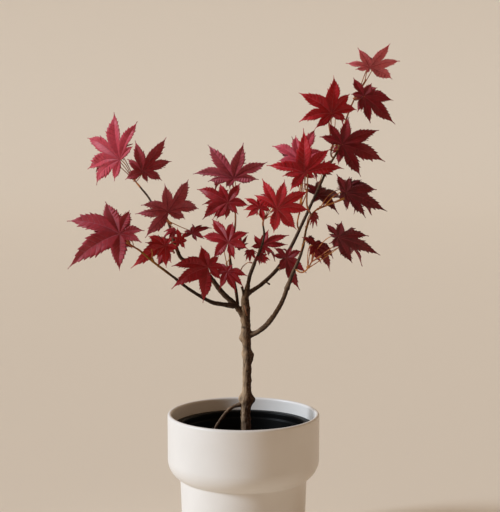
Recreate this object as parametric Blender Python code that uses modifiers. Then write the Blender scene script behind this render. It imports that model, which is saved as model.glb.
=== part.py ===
"""Potted maple bonsai with deep red leaves.

A bare, slightly crooked trunk stands in a white stepped ceramic planter, forks low into a few
thin boughs, and carries loose masses of seven-lobed leaves.  Units are metres, +Z is up, the
front view looks along +Y, and the origin is the centre of the planter's underside.

Limbs and leaves are placed as the front view shows them: a place is given as x and z in
millimetres on the upright plane through the planter's axis, with a depth behind that plane,
and seen() slides it along the line of sight to that depth.
"""

from math import cos, degrees, radians, sin
from random import Random

import bpy
import bmesh
from mathutils import Vector
from mathutils.bvhtree import BVHTree

MM = 0.001
GAP = 0.3

EYE_DISTANCE = 1600.0
EYE_HEIGHT = 505.0

PLANTER_HEIGHT = 130.0
RIM_RADIUS = 70.0
RIM_WALL = 3.7
BAND_HEIGHT = 44.0
STEP_HEIGHT = 17.0
BODY_TOP_RADIUS = 58.5
BODY_FOOT_RADIUS = 56.0
FOOT_BEVEL = 1.5
BAND_EDGE_EASE = 0.6
BODY_WALL = 4.0
PLANTER_FLOOR = 8.0
FLOOR_CHAMFER = 3.0
INNER_SLOPE = (6.0, 4.0)

LINER_TOP = 118.5
LINER_LIP_RADIUS = 65.4
LINER_LIP_DEPTH = 3.0
LINER_TOP_RADIUS = 60.0
LINER_FOOT_RADIUS = 45.0
LINER_WALL = 1.3
LINER_EDGE_EASE = 0.8

SOIL_TOP = 105.0
SOIL_EDGE_DROP = 3.0
SOIL_FLAT_RADIUS = 24.0
SOIL_SHOULDER = (6.0, 1.0)

# Mesh fineness: sides of a turned part, a curve's bevel_resolution and the way between rings.
ROUND_STEPS = 44
TRUNK_SIDES_SETTING = 4
LIMB_SIDES_SETTING = 1
TWIG_SIDES_SETTING = 0
SAMPLE_STEP = 8.0

# Twigs and leaf stalks.  A stalk runs from the stem to the leaf's heart, and its last point and
# the point it is drawn towards are shares of the leaf's length: along the middle lobe and down.
TWIG_RADIUS = 0.75
SIDE_SEAT = 0.05
STEM_PULL = 0.5
PETIOLE_RADIUS = 0.45
STALK_STEPS = 5
STALK_END = (0.10, 0.002)
STALK_PULL = (-0.45, 0.22)
PARTINGS = (5, 3, 4)

# A leaf's seven lobes, from the middle one outwards: angle from the middle lobe, length and
# half width as shares of the leaf's length, and the reach of the notch beyond each lobe.
LOBE_ANGLES = (0.0, 44.0, 86.0, 130.0)
LOBE_LENGTHS = (1.0, 0.84, 0.60, 0.42)
LOBE_HALF_WIDTHS = (0.15, 0.14, 0.115, 0.08)
NOTCH_REACH = (0.33, 0.30, 0.22)
SHOULDER_SHARE = 0.52
ANGLE_PLAY = 3.0
LENGTH_PLAY = 0.05
HEEL_ANGLE = 176.0
HEEL_REACH = 0.06
CUP = 0.26
FOLD = 0.05
BLADE_THICKNESS = 0.7

# Leaves behind the front ones.  The upper ones look up and lie back and outward, the others
# show their upper face to the back.  Each kind sits so far behind its front leaf, give or take
# a little, and is this share of its length.
UP_LEAF_DEPTH = 24.0
UP_LEAF_DEPTH_PLAY = 8.0
UP_LEAF_SHARE = 0.72
UP_LEAF_ALONG = (0.35, 0.9)
UP_LEAF_DROOP = 0.3
UP_LEAF_FACE = (0.6, 0.12, 0.78)
BACK_LEAF_DEPTH = 46.0
BACK_LEAF_DEPTH_PLAY = 10.0
BACK_LEAF_SHARE = 0.80
HEIGHT_PLAY = 3.0

CERAMIC = (0.84, 0.82, 0.79)
CERAMIC_ROUGHNESS = 0.45
LINER_PLASTIC = (0.012, 0.012, 0.012)
LINER_ROUGHNESS = 0.35
POTTING_SOIL = (0.020, 0.014, 0.010)
SOIL_ROUGHNESS = 0.95
BARK = (0.105, 0.062, 0.040)
BARK_ROUGHNESS = 0.85
LEAF_ROUGHNESS = 0.55
LEAF_TINTS = {
    "crimson": (0.155, 0.008, 0.010),
    "scarlet": (0.310, 0.014, 0.016),
    "maroon": (0.060, 0.004, 0.006),
    "rose": (0.400, 0.085, 0.095),
}

# Trunk from the soil to the fork: x, z and radius.
TRUNK = (
    (2.4, 105.3, 7.2),
    (2.4, 110.0, 5.0),
    (2.2, 120.0, 4.4),
    (2.2, 133.0, 4.8),
    (3.4, 142.0, 6.0),
    (3.4, 149.0, 4.1),
    (3.2, 162.0, 3.8),
    (3.7, 178.0, 4.1),
    (4.4, 185.0, 5.0),
    (3.2, 192.0, 3.9),
    (1.7, 199.0, 4.6),
    (2.4, 207.0, 3.8),
    (1.8, 217.0, 4.5),
    (2.0, 226.0, 4.2),
    (1.4, 234.0, 3.4),
    (2.6, 240.5, 3.0),
)

# Each limb: the limbs it grows from, then x, z, depth and radius from its root to its tip.
LIMBS = {
    "surface_root": (
        ("trunk",),
        (
            (1.0, 139.0, 0.0, 1.9),
            (-5.0, 137.3, -1.5, 1.7),
            (-12.0, 134.5, -3.0, 1.6),
            (-19.0, 127.0, -4.5, 1.5),
            (-25.0, 118.0, -6.0, 1.4),
            (-28.0, 110.0, -7.0, 1.4),
            (-28.6, 105.4, -7.2, 1.4),
        ),
    ),
    "left_bough": (
        ("trunk",),
        (
            (1.0, 219.0, 0.0, 3.4),
            (-7.0, 229.0, -1.0, 3.3),
            (-20.0, 241.6, -3.0, 2.8),
            (-32.0, 257.0, -3.0, 2.3),
            (-45.0, 266.5, 1.0, 2.0),
            (-57.0, 272.5, 6.0, 1.8),
            (-62.0, 283.0, 9.0, 1.6),
            (-67.0, 299.0, 13.0, 1.4),
            (-71.0, 309.0, 16.0, 1.3),
            (-81.0, 317.0, 21.0, 1.1),
            (-87.0, 328.0, 26.0, 1.0),
            (-95.0, 338.0, 31.0, 0.9),
        ),
    ),
    "far_left_bough": (
        ("left_bough",),
        (
            (-9.0, 229.0, -2.0, 2.4),
            (-21.6, 230.5, -8.0, 2.0),
            (-31.0, 233.0, -13.0, 1.8),
            (-49.0, 243.5, -24.0, 1.5),
            (-68.0, 258.0, -36.0, 1.2),
            (-84.0, 270.0, -46.0, 1.0),
            (-94.0, 278.5, -52.0, 0.9),
        ),
    ),
    "inner_bough": (
        ("left_bough", "trunk"),
        (
            (-5.0, 224.0, 1.0, 1.6),
            (-6.0, 237.0, 5.0, 1.5),
            (-8.0, 248.0, 9.0, 1.4),
            (-11.0, 262.0, 15.0, 1.3),
            (-12.5, 276.0, 21.0, 1.2),
            (-9.5, 289.0, 27.0, 1.1),
            (-8.0, 300.0, 31.0, 1.0),
        ),
    ),
    "central_bough": (
        (),
        (
            (2.7, 240.9, 0.0, 2.9),
            (3.9, 247.4, 0.0, 2.6),
            (6.0, 257.0, -1.0, 2.5),
            (9.4, 266.0, -3.5, 2.4),
            (11.0, 270.5, -6.0, 1.4),
            (14.0, 277.0, -11.0, 1.2),
            (17.5, 286.0, -18.0, 1.1),
            (19.0, 295.0, -25.0, 1.0),
            (18.0, 303.0, -31.0, 0.9),
        ),
    ),
    "right_bough": (
        ("trunk", "central_bough"),
        (
            (2.0, 238.5, 1.0, 2.2),
            (9.0, 243.5, 3.0, 2.2),
            (17.0, 249.0, 5.0, 2.1),
            (31.8, 263.5, 11.0, 1.9),
            (44.7, 285.0, 17.0, 1.7),
            (54.8, 306.0, 22.0, 1.5),
            (64.0, 326.0, 26.0, 1.35),
            (77.8, 355.8, 31.0, 1.15),
            (87.0, 372.4, 34.0, 1.0),
            (92.0, 391.0, 37.0, 0.9),
        ),
    ),
    "low_right_bough": (
        ("trunk",),
        (
            (3.0, 202.5, -1.0, 2.6),
            (10.6, 204.0, -3.0, 2.5),
            (17.0, 207.5, -5.0, 2.4),
            (24.4, 215.0, -8.0, 2.3),
            (31.0, 224.5, -12.0, 2.1),
            (36.4, 234.5, -16.0, 2.0),
            (39.6, 243.5, -19.0, 1.9),
        ),
    ),
    "low_right_bough_upper": (
        (),
        (
            (39.8, 244.1, -19.2, 1.9),
            (44.7, 257.0, -23.0, 1.7),
            (50.0, 269.0, -28.0, 1.5),
            (54.0, 280.0, -32.0, 1.3),
            (56.0, 290.0, -35.0, 1.2),
            (58.0, 300.5, -38.0, 1.0),
            (61.0, 309.0, -40.0, 0.9),
        ),
    ),
}

# Each mass: the limb and the share of its length where the stem leaves it, where the stem
# ends (x, z, depth), a seed, how the leaves behind look, and the leaves that face the front:
# x, z, depth, length, direction of the middle lobe, way and angle of the lean, how widely the
# lobes spread, and tint.  Directions are degrees counter-clockwise from the right.
MASSES = {
    "foliage_upper_left": (
        "left_bough", 1.0, (-104.0, 349.0, 36.0), 11, ("up", "back"),
        (
            (-115.0, 364.0, 30.0, 50.0, 148.0, 185.0, 30.0, 1.0, "rose"),
            (-93.0, 352.0, 22.0, 38.0, 56.0, 300.0, 14.0, 0.95, "maroon"),
        ),
    ),
    "foliage_left": (
        "far_left_bough", 1.0, (-104.0, 284.0, -55.0), 12, ("up", "back"),
        ((-114.0, 295.0, -62.0, 54.0, 164.0, 80.0, 28.0, 1.14, "crimson"),),
    ),
    "foliage_middle_left": (
        "left_bough", 0.735, (-66.0, 304.0, 2.0), 13, (),
        (
            (-69.0, 313.0, -6.0, 41.0, 57.0, 345.0, 28.0, 1.12, "rose"),
            (-47.0, 294.0, -2.0, 20.0, 14.0, 100.0, 58.0, 1.2, "maroon"),
        ),
    ),
    "foliage_lower_left": (
        "left_bough", 0.60, (-64.0, 277.0, -8.0), 14, ("back",),
        (
            (-72.0, 284.0, -16.0, 33.0, 206.0, 270.0, 28.0, 1.0, "scarlet"),
            (-59.0, 287.0, -14.0, 16.0, 95.0, 0.0, 42.0, 0.9, "scarlet"),
        ),
    ),
    "foliage_front_left": (
        "left_bough", 0.30, (-31.0, 258.0, -24.0), 15, (),
        ((-32.0, 263.0, -40.0, 38.0, 207.0, 60.0, 20.0, 1.04, "crimson"),),
    ),
    "foliage_inner_low": (
        "inner_bough", 0.42, (-16.0, 268.0, -4.0), 16, (),
        (
            (-14.0, 287.0, -27.0, 32.0, 123.0, 105.0, 24.0, 1.05, "crimson"),
            (-15.0, 260.0, -22.0, 22.0, 310.0, 130.0, 25.0, 0.78, "crimson"),
        ),
    ),
    "foliage_inner_top": (
        "inner_bough", 1.0, (-10.5, 330.0, 40.0), 17, ("up", "back"),
        (
            (-9.0, 346.0, 32.0, 44.0, 127.0, 250.0, 14.0, 1.15, "rose"),
            (-14.0, 324.0, 16.0, 34.0, 182.0, 200.0, 14.0, 0.95, "crimson"),
        ),
    ),
    "foliage_centre": (
        "central_bough", 0.43, (14.0, 273.0, 8.0), 18, ("up", "back"),
        (
            (16.0, 283.0, 2.0, 26.0, 18.0, 200.0, 10.0, 0.85, "crimson"),
            (17.0, 273.0, -2.0, 8.0, 350.0, 90.0, 20.0, 1.0, "scarlet"),
        ),
    ),
    "foliage_centre_top": (
        "central_bough", 1.0, (20.0, 310.0, -38.0), 19, ("up",),
        (
            (31.0, 318.0, -50.0, 34.0, 112.0, 270.0, 8.0, 1.1, "scarlet"),
            (15.0, 319.0, -38.0, 23.0, 186.0, 60.0, 22.0, 1.0, "scarlet"),
        ),
    ),
    "foliage_right_low": (
        "right_bough", 0.22, (36.0, 266.0, -4.0), 20, (),
        ((40.0, 273.0, -14.0, 32.0, 291.0, 200.0, 18.0, 1.05, "crimson"),),
    ),
    "foliage_right_side": (
        "low_right_bough_upper", 0.36, (66.0, 278.0, -44.0), 21, ("up", "back"),
        (
            (83.0, 289.0, -58.0, 43.0, 338.0, 240.0, 16.0, 0.72, "maroon"),
            (65.0, 284.0, -46.0, 29.0, 306.0, 30.0, 40.0, 0.7, "maroon"),
        ),
    ),
    "foliage_right_outer": (
        "low_right_bough_upper", 1.0, (75.0, 321.0, -38.0), 22, ("up", "back"),
        ((93.0, 332.0, -34.0, 43.0, 336.0, 240.0, 16.0, 0.73, "maroon"),),
    ),
    "foliage_right_middle": (
        "right_bough", 0.47, (58.0, 332.0, 6.0), 23, ("up", "back"),
        (
            (56.0, 351.0, -8.0, 42.0, 91.0, 270.0, 10.0, 1.0, "scarlet"),
            (52.0, 362.0, 10.0, 36.0, 107.0, 107.0, 26.0, 1.0, "rose"),
        ),
    ),
    "foliage_right_inner": (
        "right_bough", 0.60, (68.0, 336.0, 40.0), 24, ("up",),
        ((68.0, 330.0, 46.0, 28.0, 335.0, 60.0, 45.0, 1.0, "maroon"),),
    ),
    "foliage_right_upper": (
        "right_bough", 0.86, (84.0, 380.0, 28.0), 25, ("up", "back"),
        (
            (81.0, 406.0, 26.0, 39.0, 89.0, 350.0, 14.0, 1.12, "scarlet"),
            (90.0, 376.0, 14.0, 43.0, 340.0, 250.0, 16.0, 0.96, "maroon"),
        ),
    ),
    "foliage_top": (
        "right_bough", 1.0, (112.0, 436.0, 48.0), 26, ("up", "back"),
        (
            (116.0, 447.0, 46.0, 31.0, 52.0, 290.0, 26.0, 1.2, "rose"),
            (111.0, 420.0, 36.0, 37.0, 321.0, 230.0, 14.0, 0.86, "maroon"),
        ),
    ),
}


def clear_scene():
    for item in list(bpy.data.objects):
        bpy.data.objects.remove(item, do_unlink=True)


def new_collection(name):
    group = bpy.data.collections.new(name)
    bpy.context.scene.collection.children.link(group)
    return group


def paint(item, colour, roughness):
    """Gives an object its own plain material."""
    material = bpy.data.materials.new(item.name + "_surface")
    material.use_nodes = True
    shader = material.node_tree.nodes["Principled BSDF"]
    shader.inputs["Base Color"].default_value = (*colour, 1.0)
    shader.inputs["Roughness"].default_value = roughness
    item.data.materials.clear()
    item.data.materials.append(material)


def seen(x, z, depth):
    """The point at this depth that the front view shows at x and z, in millimetres."""
    scale = 1.0 + depth / EYE_DISTANCE
    return Vector((x * scale, depth, EYE_HEIGHT + (z - EYE_HEIGHT) * scale))


def turned(name, profile, group):
    """A solid of revolution from (radius, z) pairs that run inside up and outside down."""
    mesh = bpy.data.meshes.new(name)
    corners = [(radius * MM, 0.0, z * MM) for radius, z in profile]
    mesh.from_pydata(corners, [(i, i + 1) for i in range(len(corners) - 1)], [])
    item = bpy.data.objects.new(name, mesh)
    group.objects.link(item)
    screw = item.modifiers.new("Turn", "SCREW")
    screw.steps = ROUND_STEPS
    screw.render_steps = ROUND_STEPS
    screw.use_merge_vertices = True
    screw.merge_threshold = 0.00001
    return item


def arc(centre, radius, start, end, steps):
    """Profile points along an arc, angles in degrees."""
    points = []
    for step in range(steps + 1):
        angle = radians(start + (end - start) * step / steps)
        points.append((centre[0] + radius * cos(angle), centre[1] + radius * sin(angle)))
    return points


def make_planter(group):
    """The stepped ceramic planter: a straight band over a narrower, slightly tapered body."""
    lip = RIM_WALL / 2.0
    band_foot = PLANTER_HEIGHT - BAND_HEIGHT
    body_top = band_foot - STEP_HEIGHT
    inner_top = RIM_RADIUS - RIM_WALL
    inner_body = BODY_TOP_RADIUS - BODY_WALL
    inner_foot = BODY_FOOT_RADIUS - BODY_WALL
    band_edge = RIM_RADIUS - BAND_EDGE_EASE
    step_run = band_edge - BODY_TOP_RADIUS
    slope_top, slope_foot = INNER_SLOPE
    profile = [(0.0, PLANTER_FLOOR), (inner_foot - FLOOR_CHAMFER, PLANTER_FLOOR)]
    profile.append((inner_foot, PLANTER_FLOOR + FLOOR_CHAMFER))
    profile += [(inner_body, body_top - slope_foot), (inner_top, band_foot - slope_top)]
    profile += arc((RIM_RADIUS - lip, PLANTER_HEIGHT - lip), lip, 180.0, 0.0, 4)
    profile.append((band_edge, band_foot))
    for step in range(1, 4):
        angle = radians(90.0 * step / 3.0)
        profile.append((
            band_edge - step_run * (1.0 - cos(angle)),
            band_foot - STEP_HEIGHT * sin(angle),
        ))
    profile += [(BODY_FOOT_RADIUS, FOOT_BEVEL), (BODY_FOOT_RADIUS - FOOT_BEVEL, 0.0), (0.0, 0.0)]
    item = turned("planter", profile, group)
    paint(item, CERAMIC, CERAMIC_ROUGHNESS)


def liner_radius(z):
    """Outer radius of the liner's tapered wall at height z."""
    foot = PLANTER_FLOOR + GAP
    share = (z - foot) / (LINER_TOP - LINER_LIP_DEPTH - foot)
    return LINER_FOOT_RADIUS + (LINER_TOP_RADIUS - LINER_FOOT_RADIUS) * share


def make_liner(group):
    """The black nursery pot that stands inside the planter, with a flat outward lip."""
    foot = PLANTER_FLOOR + GAP
    floor = foot + LINER_WALL
    under_lip = LINER_TOP - LINER_LIP_DEPTH
    mouth = LINER_TOP_RADIUS - LINER_WALL
    profile = [
        (0.0, floor),
        (liner_radius(floor) - LINER_WALL, floor),
        (mouth, LINER_TOP - LINER_EDGE_EASE),
        (mouth + LINER_EDGE_EASE, LINER_TOP),
        (LINER_LIP_RADIUS - LINER_EDGE_EASE, LINER_TOP),
        (LINER_LIP_RADIUS, LINER_TOP - LINER_EDGE_EASE),
        (LINER_LIP_RADIUS, under_lip),
        (LINER_TOP_RADIUS, under_lip),
        (LINER_FOOT_RADIUS, foot),
        (0.0, foot),
    ]
    item = turned("grow_pot", profile, group)
    paint(item, LINER_PLASTIC, LINER_ROUGHNESS)


def make_soil(group):
    """The soil that fills the liner, flat under the trunk and a little lower at its edge."""
    floor = PLANTER_FLOOR + GAP + LINER_WALL + GAP
    edge = SOIL_TOP - SOIL_EDGE_DROP
    clear = LINER_WALL + GAP
    shoulder_run, shoulder_rise = SOIL_SHOULDER
    profile = [
        (0.0, SOIL_TOP),
        (SOIL_FLAT_RADIUS, SOIL_TOP),
        (liner_radius(edge) - clear - shoulder_run, edge + shoulder_rise),
        (liner_radius(edge) - clear, edge),
        (liner_radius(floor) - clear, floor),
        (0.0, floor),
    ]
    item = turned("soil", profile, group)
    paint(item, POTTING_SOIL, SOIL_ROUGHNESS)


def smooth_route(points, step):
    """Rows of numbers read off a smooth curve through the given rows, about a step apart."""
    rows = [Vector(row) for row in points]
    rows = [2.0 * rows[0] - rows[1]] + rows + [2.0 * rows[-1] - rows[-2]]
    route = []
    for i in range(1, len(rows) - 2):
        before, start, end, after = rows[i - 1:i + 3]
        count = max(1, round((end - start).length / step))
        for k in range(count):
            t = k / count
            route.append(0.5 * (
                2.0 * start
                + (end - before) * t
                + (2.0 * before - 5.0 * start + 4.0 * end - after) * t * t
                + (3.0 * start - before - 3.0 * end + after) * t * t * t
            ))
    route.append(rows[-2])
    return route


def tube(name, route, sides_setting, group, swell=0.0):
    """A closed tube along (point, radius) pairs, as a mesh with welded caps."""
    curve = bpy.data.curves.new(name, "CURVE")
    curve.dimensions = "3D"
    curve.bevel_depth = MM
    curve.bevel_resolution = sides_setting
    curve.use_fill_caps = True
    curve.render_resolution_u = 0
    spline = curve.splines.new("POLY")
    spline.points.add(len(route) - 1)
    for knot, (place, radius) in zip(spline.points, route):
        knot.co = (*(place * MM), 1.0)
        knot.radius = radius + swell
    guide = bpy.data.objects.new(name + "_guide", curve)
    group.objects.link(guide)
    evaluated = guide.evaluated_get(bpy.context.evaluated_depsgraph_get())
    mesh = bpy.data.meshes.new_from_object(evaluated)
    bpy.data.objects.remove(guide, do_unlink=True)
    shape = bmesh.new()
    shape.from_mesh(mesh)
    bmesh.ops.remove_doubles(shape, verts=shape.verts, dist=0.00001)
    bmesh.ops.triangulate(shape, faces=shape.faces)
    shape.to_mesh(mesh)
    shape.free()
    mesh.shade_smooth()
    item = bpy.data.objects.new(name, mesh)
    group.objects.link(item)
    return item


def trunk_route():
    return [(Vector((x, 0.0, z)), radius) for x, z, radius in smooth_route(TRUNK, SAMPLE_STEP)]


def limb_route(name):
    """The (point, radius) pairs of a limb, root to tip, in true space."""
    rows = [(*seen(x, z, depth), radius) for x, z, depth, radius in LIMBS[name][1]]
    return [(Vector(row[:3]), row[3]) for row in smooth_route(rows, SAMPLE_STEP)]


def cut_clear(item, route, sides_setting, cutters):
    """Cuts an object clear of the limb it grows from by the usual gap."""
    root, root_radius = route[0]
    tip, tip_radius = route[-1]
    before = root + (root - route[1][0]).normalized() * (2.0 * GAP)
    beyond = tip + (tip - route[-2][0]).normalized() * (2.0 * GAP)
    longer = [(before, root_radius)] + route[1:-1] + [(beyond, tip_radius)]
    cutter = tube(item.name + "_seat", longer, sides_setting, cutters, swell=GAP)
    cutter.hide_render = True
    cutter.display_type = "WIRE"
    cut = item.modifiers.new("Seat", "BOOLEAN")
    cut.operation = "DIFFERENCE"
    cut.object = cutter


def make_limbs(group, cutters):
    """The trunk and every limb, each cut clear of those it grows from."""
    routes = {"trunk": trunk_route()}
    sides = {"trunk": TRUNK_SIDES_SETTING}
    trunk = tube("trunk", routes["trunk"], TRUNK_SIDES_SETTING, group)
    paint(trunk, BARK, BARK_ROUGHNESS)
    for name, (parents, _) in LIMBS.items():
        routes[name] = limb_route(name)
        sides[name] = LIMB_SIDES_SETTING
        item = tube(name, routes[name], LIMB_SIDES_SETTING, group)
        for parent in parents:
            cut_clear(item, routes[parent], sides[parent], cutters)
        paint(item, BARK, BARK_ROUGHNESS)
    return routes


def lean_frame(turn, lean_way, lean):
    """A leaf's own axes: along the middle lobe, to its side, and out of its upper face."""
    toward_eye = Vector((0.0, -1.0, 0.0))
    way = Vector((cos(radians(lean_way)), 0.0, sin(radians(lean_way))))
    face = toward_eye * cos(radians(lean)) + way * sin(radians(lean))
    shown = Vector((cos(radians(turn)), 0.0, sin(radians(turn))))
    along = shown - toward_eye * (shown.dot(face) / toward_eye.dot(face))
    along.normalize()
    return along, face.cross(along), face


def free_frame(along, face):
    """A leaf's own axes from a middle lobe's direction and the way its upper face looks."""
    face = face.normalized()
    along = (along - face * along.dot(face)).normalized()
    return along, face.cross(along), face


def blade(name, centre, length, frame, spread, chance, group):
    """One leaf: seven pointed lobes round the centre, cupped back and folded at the midribs."""
    along, side, face = frame

    def at(angle, reach, lift=0.0):
        flat = along * cos(radians(angle)) + side * sin(radians(angle))
        return (centre + flat * (reach * length) + face * ((lift - CUP * reach * reach) * length)) * MM

    lobes = []
    for sign in (-1, 1):
        for rank in (3, 2, 1) if sign < 0 else (0, 1, 2, 3):
            angle = sign * spread * LOBE_ANGLES[rank] + chance.uniform(-ANGLE_PLAY, ANGLE_PLAY)
            lobes.append((angle, rank, 1.0 + chance.uniform(-LENGTH_PLAY, LENGTH_PLAY)))
    shape = bmesh.new()
    heart = shape.verts.new(centre * MM)
    notches = [shape.verts.new(at(-HEEL_ANGLE, HEEL_REACH))]
    for left, right in zip(lobes, lobes[1:]):
        reach = NOTCH_REACH[max(left[1], right[1]) - 1]
        notches.append(shape.verts.new(at((left[0] + right[0]) / 2.0, reach, -FOLD / 2.0)))
    notches.append(shape.verts.new(at(HEEL_ANGLE, HEEL_REACH)))
    for i, (angle, rank, stretch) in enumerate(lobes):
        reach = LOBE_LENGTHS[rank] * stretch
        shoulder = reach * SHOULDER_SHARE
        swing = degrees(LOBE_HALF_WIDTHS[rank] / shoulder)
        middle = shape.verts.new(at(angle, shoulder))
        tip = shape.verts.new(at(angle, reach))
        first = shape.verts.new(at(angle - swing, shoulder, -FOLD))
        last = shape.verts.new(at(angle + swing, shoulder, -FOLD))
        start, end = notches[i], notches[i + 1]
        for corners in (
            (heart, start, middle),
            (heart, middle, end),
            (start, first, middle),
            (first, tip, middle),
            (middle, tip, last),
            (middle, last, end),
        ):
            shape.faces.new(corners)
    mesh = bpy.data.meshes.new(name)
    shape.to_mesh(mesh)
    shape.free()
    item = bpy.data.objects.new(name, mesh)
    group.objects.link(item)
    solid = item.modifiers.new("Blade", "SOLIDIFY")
    solid.thickness = BLADE_THICKNESS * MM
    solid.offset = 0.0
    return item


def frozen(item):
    """The object with its modifiers applied."""
    evaluated = item.evaluated_get(bpy.context.evaluated_depsgraph_get())
    mesh = bpy.data.meshes.new_from_object(evaluated)
    item.modifiers.clear()
    item.data = mesh
    return item


def tree_of(item):
    shape = bmesh.new()
    shape.from_mesh(item.data)
    tree = BVHTree.FromBMesh(shape)
    shape.free()
    return tree


def bent(start, pull, end, steps):
    """Points along a quadratic curve from start to end, drawn towards pull."""
    points = []
    for step in range(steps + 1):
        t = step / steps
        points.append(start * (1.0 - t) ** 2 + pull * (2.0 * t * (1.0 - t)) + end * t * t)
    return points


def leaves_behind(front, looks, chance):
    """The leaves behind the front ones, looking up and outward or to the back."""
    grown = []
    for k, look in enumerate(looks):
        x, z, depth, length, turn, way, lean, spread = front[k % len(front)][:8]
        height = z + chance.uniform(-HEIGHT_PLAY, HEIGHT_PLAY)
        if look == "up":
            outward = 1.0 if x > 0 else -1.0
            back = depth + UP_LEAF_DEPTH + chance.uniform(0.0, UP_LEAF_DEPTH_PLAY)
            centre = seen(x, height, back)
            droop = chance.uniform(-UP_LEAF_DROOP, 0.0)
            along = Vector((outward * UP_LEAF_ALONG[0], UP_LEAF_ALONG[1], droop))
            face = Vector((outward * UP_LEAF_FACE[0], *UP_LEAF_FACE[1:]))
            grown.append((centre, UP_LEAF_SHARE * length, free_frame(along, face), 1.0))
        else:
            back = depth + BACK_LEAF_DEPTH + chance.uniform(0.0, BACK_LEAF_DEPTH_PLAY)
            centre = seen(x, height, back)
            along, _, face = lean_frame(turn, way, lean)
            grown.append((centre, BACK_LEAF_SHARE * length, free_frame(along, -face), spread))
    return grown


def grow_mass(name, routes, taken, group, pieces):
    """One mass: a stem that leaves its limb, leaf stalks that part from it, and their blades.

    A leaf or stalk that would touch a limb or another mass is left out.
    """
    limb, share, stem_end, seed, looks, front = MASSES[name]
    chance = Random(seed)
    route = routes[limb]
    spot = min(len(route) - 1, round(share * (len(route) - 1)))
    root, limb_radius = route[spot]
    end = seen(*stem_end)
    if share == 1.0:
        heading = (root - route[-2][0]).normalized()
        start = root + heading * GAP
        stem_radius = limb_radius
    else:
        run = (route[spot + 1][0] - root).normalized()
        heading = end - root
        heading = (heading - run * heading.dot(run)).normalized()
        start = root + heading * (limb_radius + GAP + SIDE_SEAT)
        stem_radius = TWIG_RADIUS
    pull = start + heading * (STEM_PULL * (end - start).length)
    stem = bent(start, pull, end, STALK_STEPS)
    thinning = (PETIOLE_RADIUS - stem_radius) / STALK_STEPS
    twig = [(point, stem_radius + thinning * k) for k, point in enumerate(stem)]
    parts = [tube(name + "_stem", twig, TWIG_SIDES_SETTING, pieces)]
    leaves = []
    for x, z, depth, length, turn, way, lean, spread, _ in front:
        leaves.append((seen(x, z, depth), length, lean_frame(turn, way, lean), spread))
    leaves += leaves_behind(front, looks, chance)
    for k, (centre, length, frame, spread) in enumerate(leaves):
        along, _, face = frame
        leaf = blade("leaf", centre, length, frame, spread, chance, pieces)
        frozen(leaf)
        parting = stem[PARTINGS[0] if k == 0 else PARTINGS[2 - k % 2]]
        entry, pull = [
            centre + along * (onward * length) - face * (down * length)
            for onward, down in (STALK_END, STALK_PULL)
        ]
        stalk = [(point, PETIOLE_RADIUS) for point in bent(parting, pull, entry, STALK_STEPS)]
        petiole = tube("stalk", stalk, TWIG_SIDES_SETTING, pieces)
        grown = [tree_of(leaf), tree_of(petiole)]
        if any(tree.overlap(other) for tree in grown for other in taken):
            bpy.data.objects.remove(leaf, do_unlink=True)
            bpy.data.objects.remove(petiole, do_unlink=True)
        else:
            parts += [leaf, petiole]
    return join(name, parts, group)


def join(name, parts, group):
    """One Boolean union of all the parts, as a single object."""
    first = parts[0]
    bag = bpy.data.collections.new(name + "_parts")
    for part in parts[1:]:
        bag.objects.link(part)
    union = first.modifiers.new("Union", "BOOLEAN")
    union.operation = "UNION"
    union.operand_type = "COLLECTION"
    union.solver = "MANIFOLD"
    union.collection = bag
    frozen(first)
    for part in parts[1:]:
        bpy.data.objects.remove(part, do_unlink=True)
    bpy.data.collections.remove(bag)
    mesh = first.data
    bpy.data.objects.remove(first, do_unlink=True)
    item = bpy.data.objects.new(name, mesh)
    group.objects.link(item)
    return item


def main():
    clear_scene()
    group = new_collection("maple_bonsai")
    cutters = new_collection("cutters")
    pieces = new_collection("pieces")
    make_planter(group)
    make_liner(group)
    make_soil(group)
    routes = make_limbs(group, cutters)
    bpy.context.view_layer.update()
    taken = [tree_of(bpy.data.objects[name]) for name in routes]
    for name, mass in MASSES.items():
        item = grow_mass(name, routes, taken, group, pieces)
        front = mass[-1]
        paint(item, LEAF_TINTS[front[0][-1]], LEAF_ROUGHNESS)
        taken.append(tree_of(item))
    bpy.data.collections.remove(pieces)


main()
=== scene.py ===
"""Looks of a potted maple bonsai: glazed planter, grow pot, soil, bark, twigs and red leaves.

Arrays of points are in millimetres, and mesh_object() turns them to metres.  Limbs and leaves
are placed as the front view shows them: x and z on the upright plane through the planter's axis,
with a depth behind that plane, and seen() slides them along the line of sight to that depth.
"""

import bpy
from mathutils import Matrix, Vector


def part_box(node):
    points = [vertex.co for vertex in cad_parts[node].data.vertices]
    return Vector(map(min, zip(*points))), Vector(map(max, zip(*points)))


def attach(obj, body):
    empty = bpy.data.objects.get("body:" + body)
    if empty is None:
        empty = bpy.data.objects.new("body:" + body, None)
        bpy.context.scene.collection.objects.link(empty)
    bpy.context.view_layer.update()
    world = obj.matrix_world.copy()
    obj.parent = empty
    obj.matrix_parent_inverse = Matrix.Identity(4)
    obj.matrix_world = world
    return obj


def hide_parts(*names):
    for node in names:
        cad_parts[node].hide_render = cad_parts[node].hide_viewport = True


bl_info = {
    "name": "Potted maple bonsai",
    "version": (1, 0, 0),
    "blender": (4, 5, 0),
    "location": "3D View > Sidebar > Maple",
    "description": "Dresses a maple bonsai with glaze, soil, bark, twigs and toothed leaves",
    "category": "Add Mesh",
}

from math import cos, pi, radians, sin
from random import Random

import bpy
import numpy as np
from mathutils import Vector

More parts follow.
